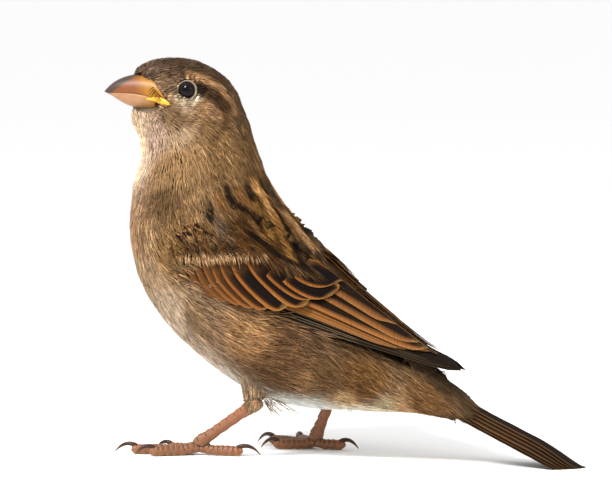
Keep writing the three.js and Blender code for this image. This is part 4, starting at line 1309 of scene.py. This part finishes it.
for side, spots in legPlaces.items():
    heel, ankle = np.array(spots["heel"]), np.array(spots["ankle"])
    points, corners, sizes = zip(*legParts(heel, ankle, spots["pads"]))
    starts = np.cumsum([0] + [len(part) for part in points[:-1]])
    corners = np.concatenate([part + start for part, start in zip(corners, starts)])
    shank = meshFrom(f"leg_{side}", inFrame(np.concatenate(points)), corners, np.concatenate(sizes))
    outwards(shank)
    applyModifier(shank, "REMESH", mode="VOXEL", voxel_size=leg["voxel"] * mm)
    applyModifier(shank, "SMOOTH", factor=0.4, iterations=1)
    places = onBird(vertexPlaces(shank))
    places[:, 2] = np.maximum(places[:, 2], 0.0)
    shank.data.vertices.foreach_set("co", inFrame(places).ravel())
    # Grooves are found as places that a smoother copy fills, and painted darker: the plates' dark joints
    # together with painted shade in the grooves. Raised places are painted lighter, a painted highlight.
    softer = shank.copy()
    softer.data = shank.data.copy()
    bpy.context.scene.collection.objects.link(softer)
    applyModifier(softer, "SMOOTH", factor=0.5, iterations=8)
    fill = ((vertexPlaces(softer) - vertexPlaces(shank)) * vertexNormals(shank)).sum(axis=1) / mm
    bpy.data.objects.remove(softer)
    shade = 1 - 0.85 * smooth(fill, 0.0, 0.012) + 0.45 * smooth(-fill, 0.0, 0.02)
    paint(shank.data, legShade(places, side) * shade[:, None])
    toeNodes = [f"toe_{side}_{n}" for n in (1, 2, 3, 4)]
    finishPiece(shank, legScutes, "leg_scales", f"tarsus_{side}", *toeNodes)
    # The thigh's feathers run on over the heel.
    shankTree, shankPlaces, shankOuts = treeOf(shank), vertexPlaces(shank), vertexNormals(shank)
    below = (onBird(shankPlaces) - heel) @ unit(ankle - heel)
    chosen = np.flatnonzero(below < heelCoat["reach"])
    chosen = chosen[thinned(shankPlaces[chosen], heelCoat["spacing"])]
    outs = shankOuts[chosen]
    ways = laidOn(outs, np.tile(unit(np.array(heelCoat["way"])), (len(chosen), 1)))
    barbs = contourFeathers(shankPlaces[chosen], outs, ways, heelCoat, heelColour,
                            lambda points: nearest(shankTree, points))
    barbPieces(f"coat_heel_{side}", "thigh_plumage", barbs)

    clawNodes = [f"claw_{side}_{n}" for n in (1, 2, 3, 4)]
    claws = copyOf(clawNodes, f"claws_{side}")
    intoQuads(claws, 60)
    applyModifier(claws, "SUBSURF", levels=2, render_levels=2)
    under = 1 - smooth(onBird(vertexPlaces(claws))[:, 2], 0.6, 2.2)
    paint(claws.data, mix(linear(clawTones["above"]), linear(clawTones["under"]), under))
    finishPiece(claws, clawHorn, "claw", *clawNodes)
print("legs ready")

# Loose wisps of down hang behind the thighs.
wisps = {
    "left": {"roots": ((4.6, -8.6, 13.4), (8.5, -6.6, 13.8)),
             "tips": ((9.0, -9.2, 7.6), (15.2, -6.4, 10.6)), "count": 34},
    "right": {"roots": ((18.0, 8.2, 12.4), (21.5, 7.6, 12.6)),
              "tips": ((20.5, 8.8, 9.2), (25.4, 7.6, 10.0)), "count": 20},
}
wispTones = {"pale": "cbb899", "dark": "6a4f36", "paleShare": 0.55}
for side, sign in sides.items():
    tuft, count = wisps[side], wisps[side]["count"]
    share = np.linspace(0, 1, count)
    roots = alongLine(tuft["roots"], share) + dice.normal(0, 0.35, (count, 3))
    tips = mix(roots, alongLine(tuft["tips"], share), dice.uniform(0.65, 1.1, count))
    tips += dice.normal(0, 0.5, tips.shape)
    bend = dice.normal(0, 0.35, (count, 3))
    stations = [mix(roots, tips, f) + bend * math.sin(math.pi * f) for f in (0, 0.35, 0.7, 1)]
    paths = inFrame(np.stack(stations, axis=1))
    away = np.tile([0.0, float(sign), 0.0], (count, 1))
    width = dice.uniform(0.12, 0.2, (count, 1)) * np.array([1, 0.9, 0.7]) * mm
    pale = dice.uniform(0, 1, (count, 1)) < wispTones["paleShare"]
    tone = np.where(pale, linear(wispTones["pale"]), linear(wispTones["dark"]))
    tone = np.repeat(tone[:, None, :], 4, axis=1)
    piece = barbMesh(f"thigh_wisps_{side}", paths, away, width, tone, paths[:, 0])
    finishPiece(piece, contourBarbs, "thigh_plumage")
print("wisps ready")

for helper in (form, backForm):
    bpy.data.objects.remove(helper)

# Stage: a pale floor, a white room and soft lights from above.
bpy.ops.mesh.primitive_plane_add(size=80, location=(0, 0, 0))
floor = bpy.context.active_object
floor.name = "floor"
paper, _, shader = newMaterial("white_paper", {"Base Color": (0.97, 0.97, 0.97, 1), "Roughness": 0.9})
floor.data.materials.append(paper)
room = bpy.data.worlds.new("studio")
room.use_nodes = True
room.node_tree.nodes["Background"].inputs["Color"].default_value = (1, 1, 1, 1)
room.node_tree.nodes["Background"].inputs["Strength"].default_value = 1.0
bpy.context.scene.world = room
bpy.context.scene.view_settings.view_transform = "Standard"
lamps = {
    "key": {"place": (-0.2, -0.4, 0.5), "size": 0.19, "power": 5.2},
    "fill": {"place": (0.5, -0.4, 0.35), "size": 0.4, "power": 0.6},
}
for name, kind in lamps.items():
    bpy.ops.object.light_add(type="AREA", location=kind["place"])
    lamp = bpy.context.active_object
    lamp.name = name
    lamp.data.shape = "DISK"
    lamp.data.size = kind["size"]
    lamp.data.energy = kind["power"]
    lamp.rotation_euler = (Vector(kind["place"]) - Vector((0, 0, 0.045))).to_track_quat("Z", "Y").to_euler()

# The view, with its places in the bird's millimetres.
view = {"place": (455.599, -994.558, 125.889), "target": (9.278, 7.894, 49.157), "lens": 268.53,
        "sensor": 36}
bpy.ops.object.camera_add()
camera = bpy.context.active_object
camera.data.lens = view["lens"]
camera.data.sensor_width = view["sensor"]
camera.data.clip_end = 100
place, target = inFrame([view["place"], view["target"]])
camera.location = place
camera.rotation_euler = Vector(target - place).to_track_quat("-Z", "Y").to_euler()
bpy.context.scene.camera = camera
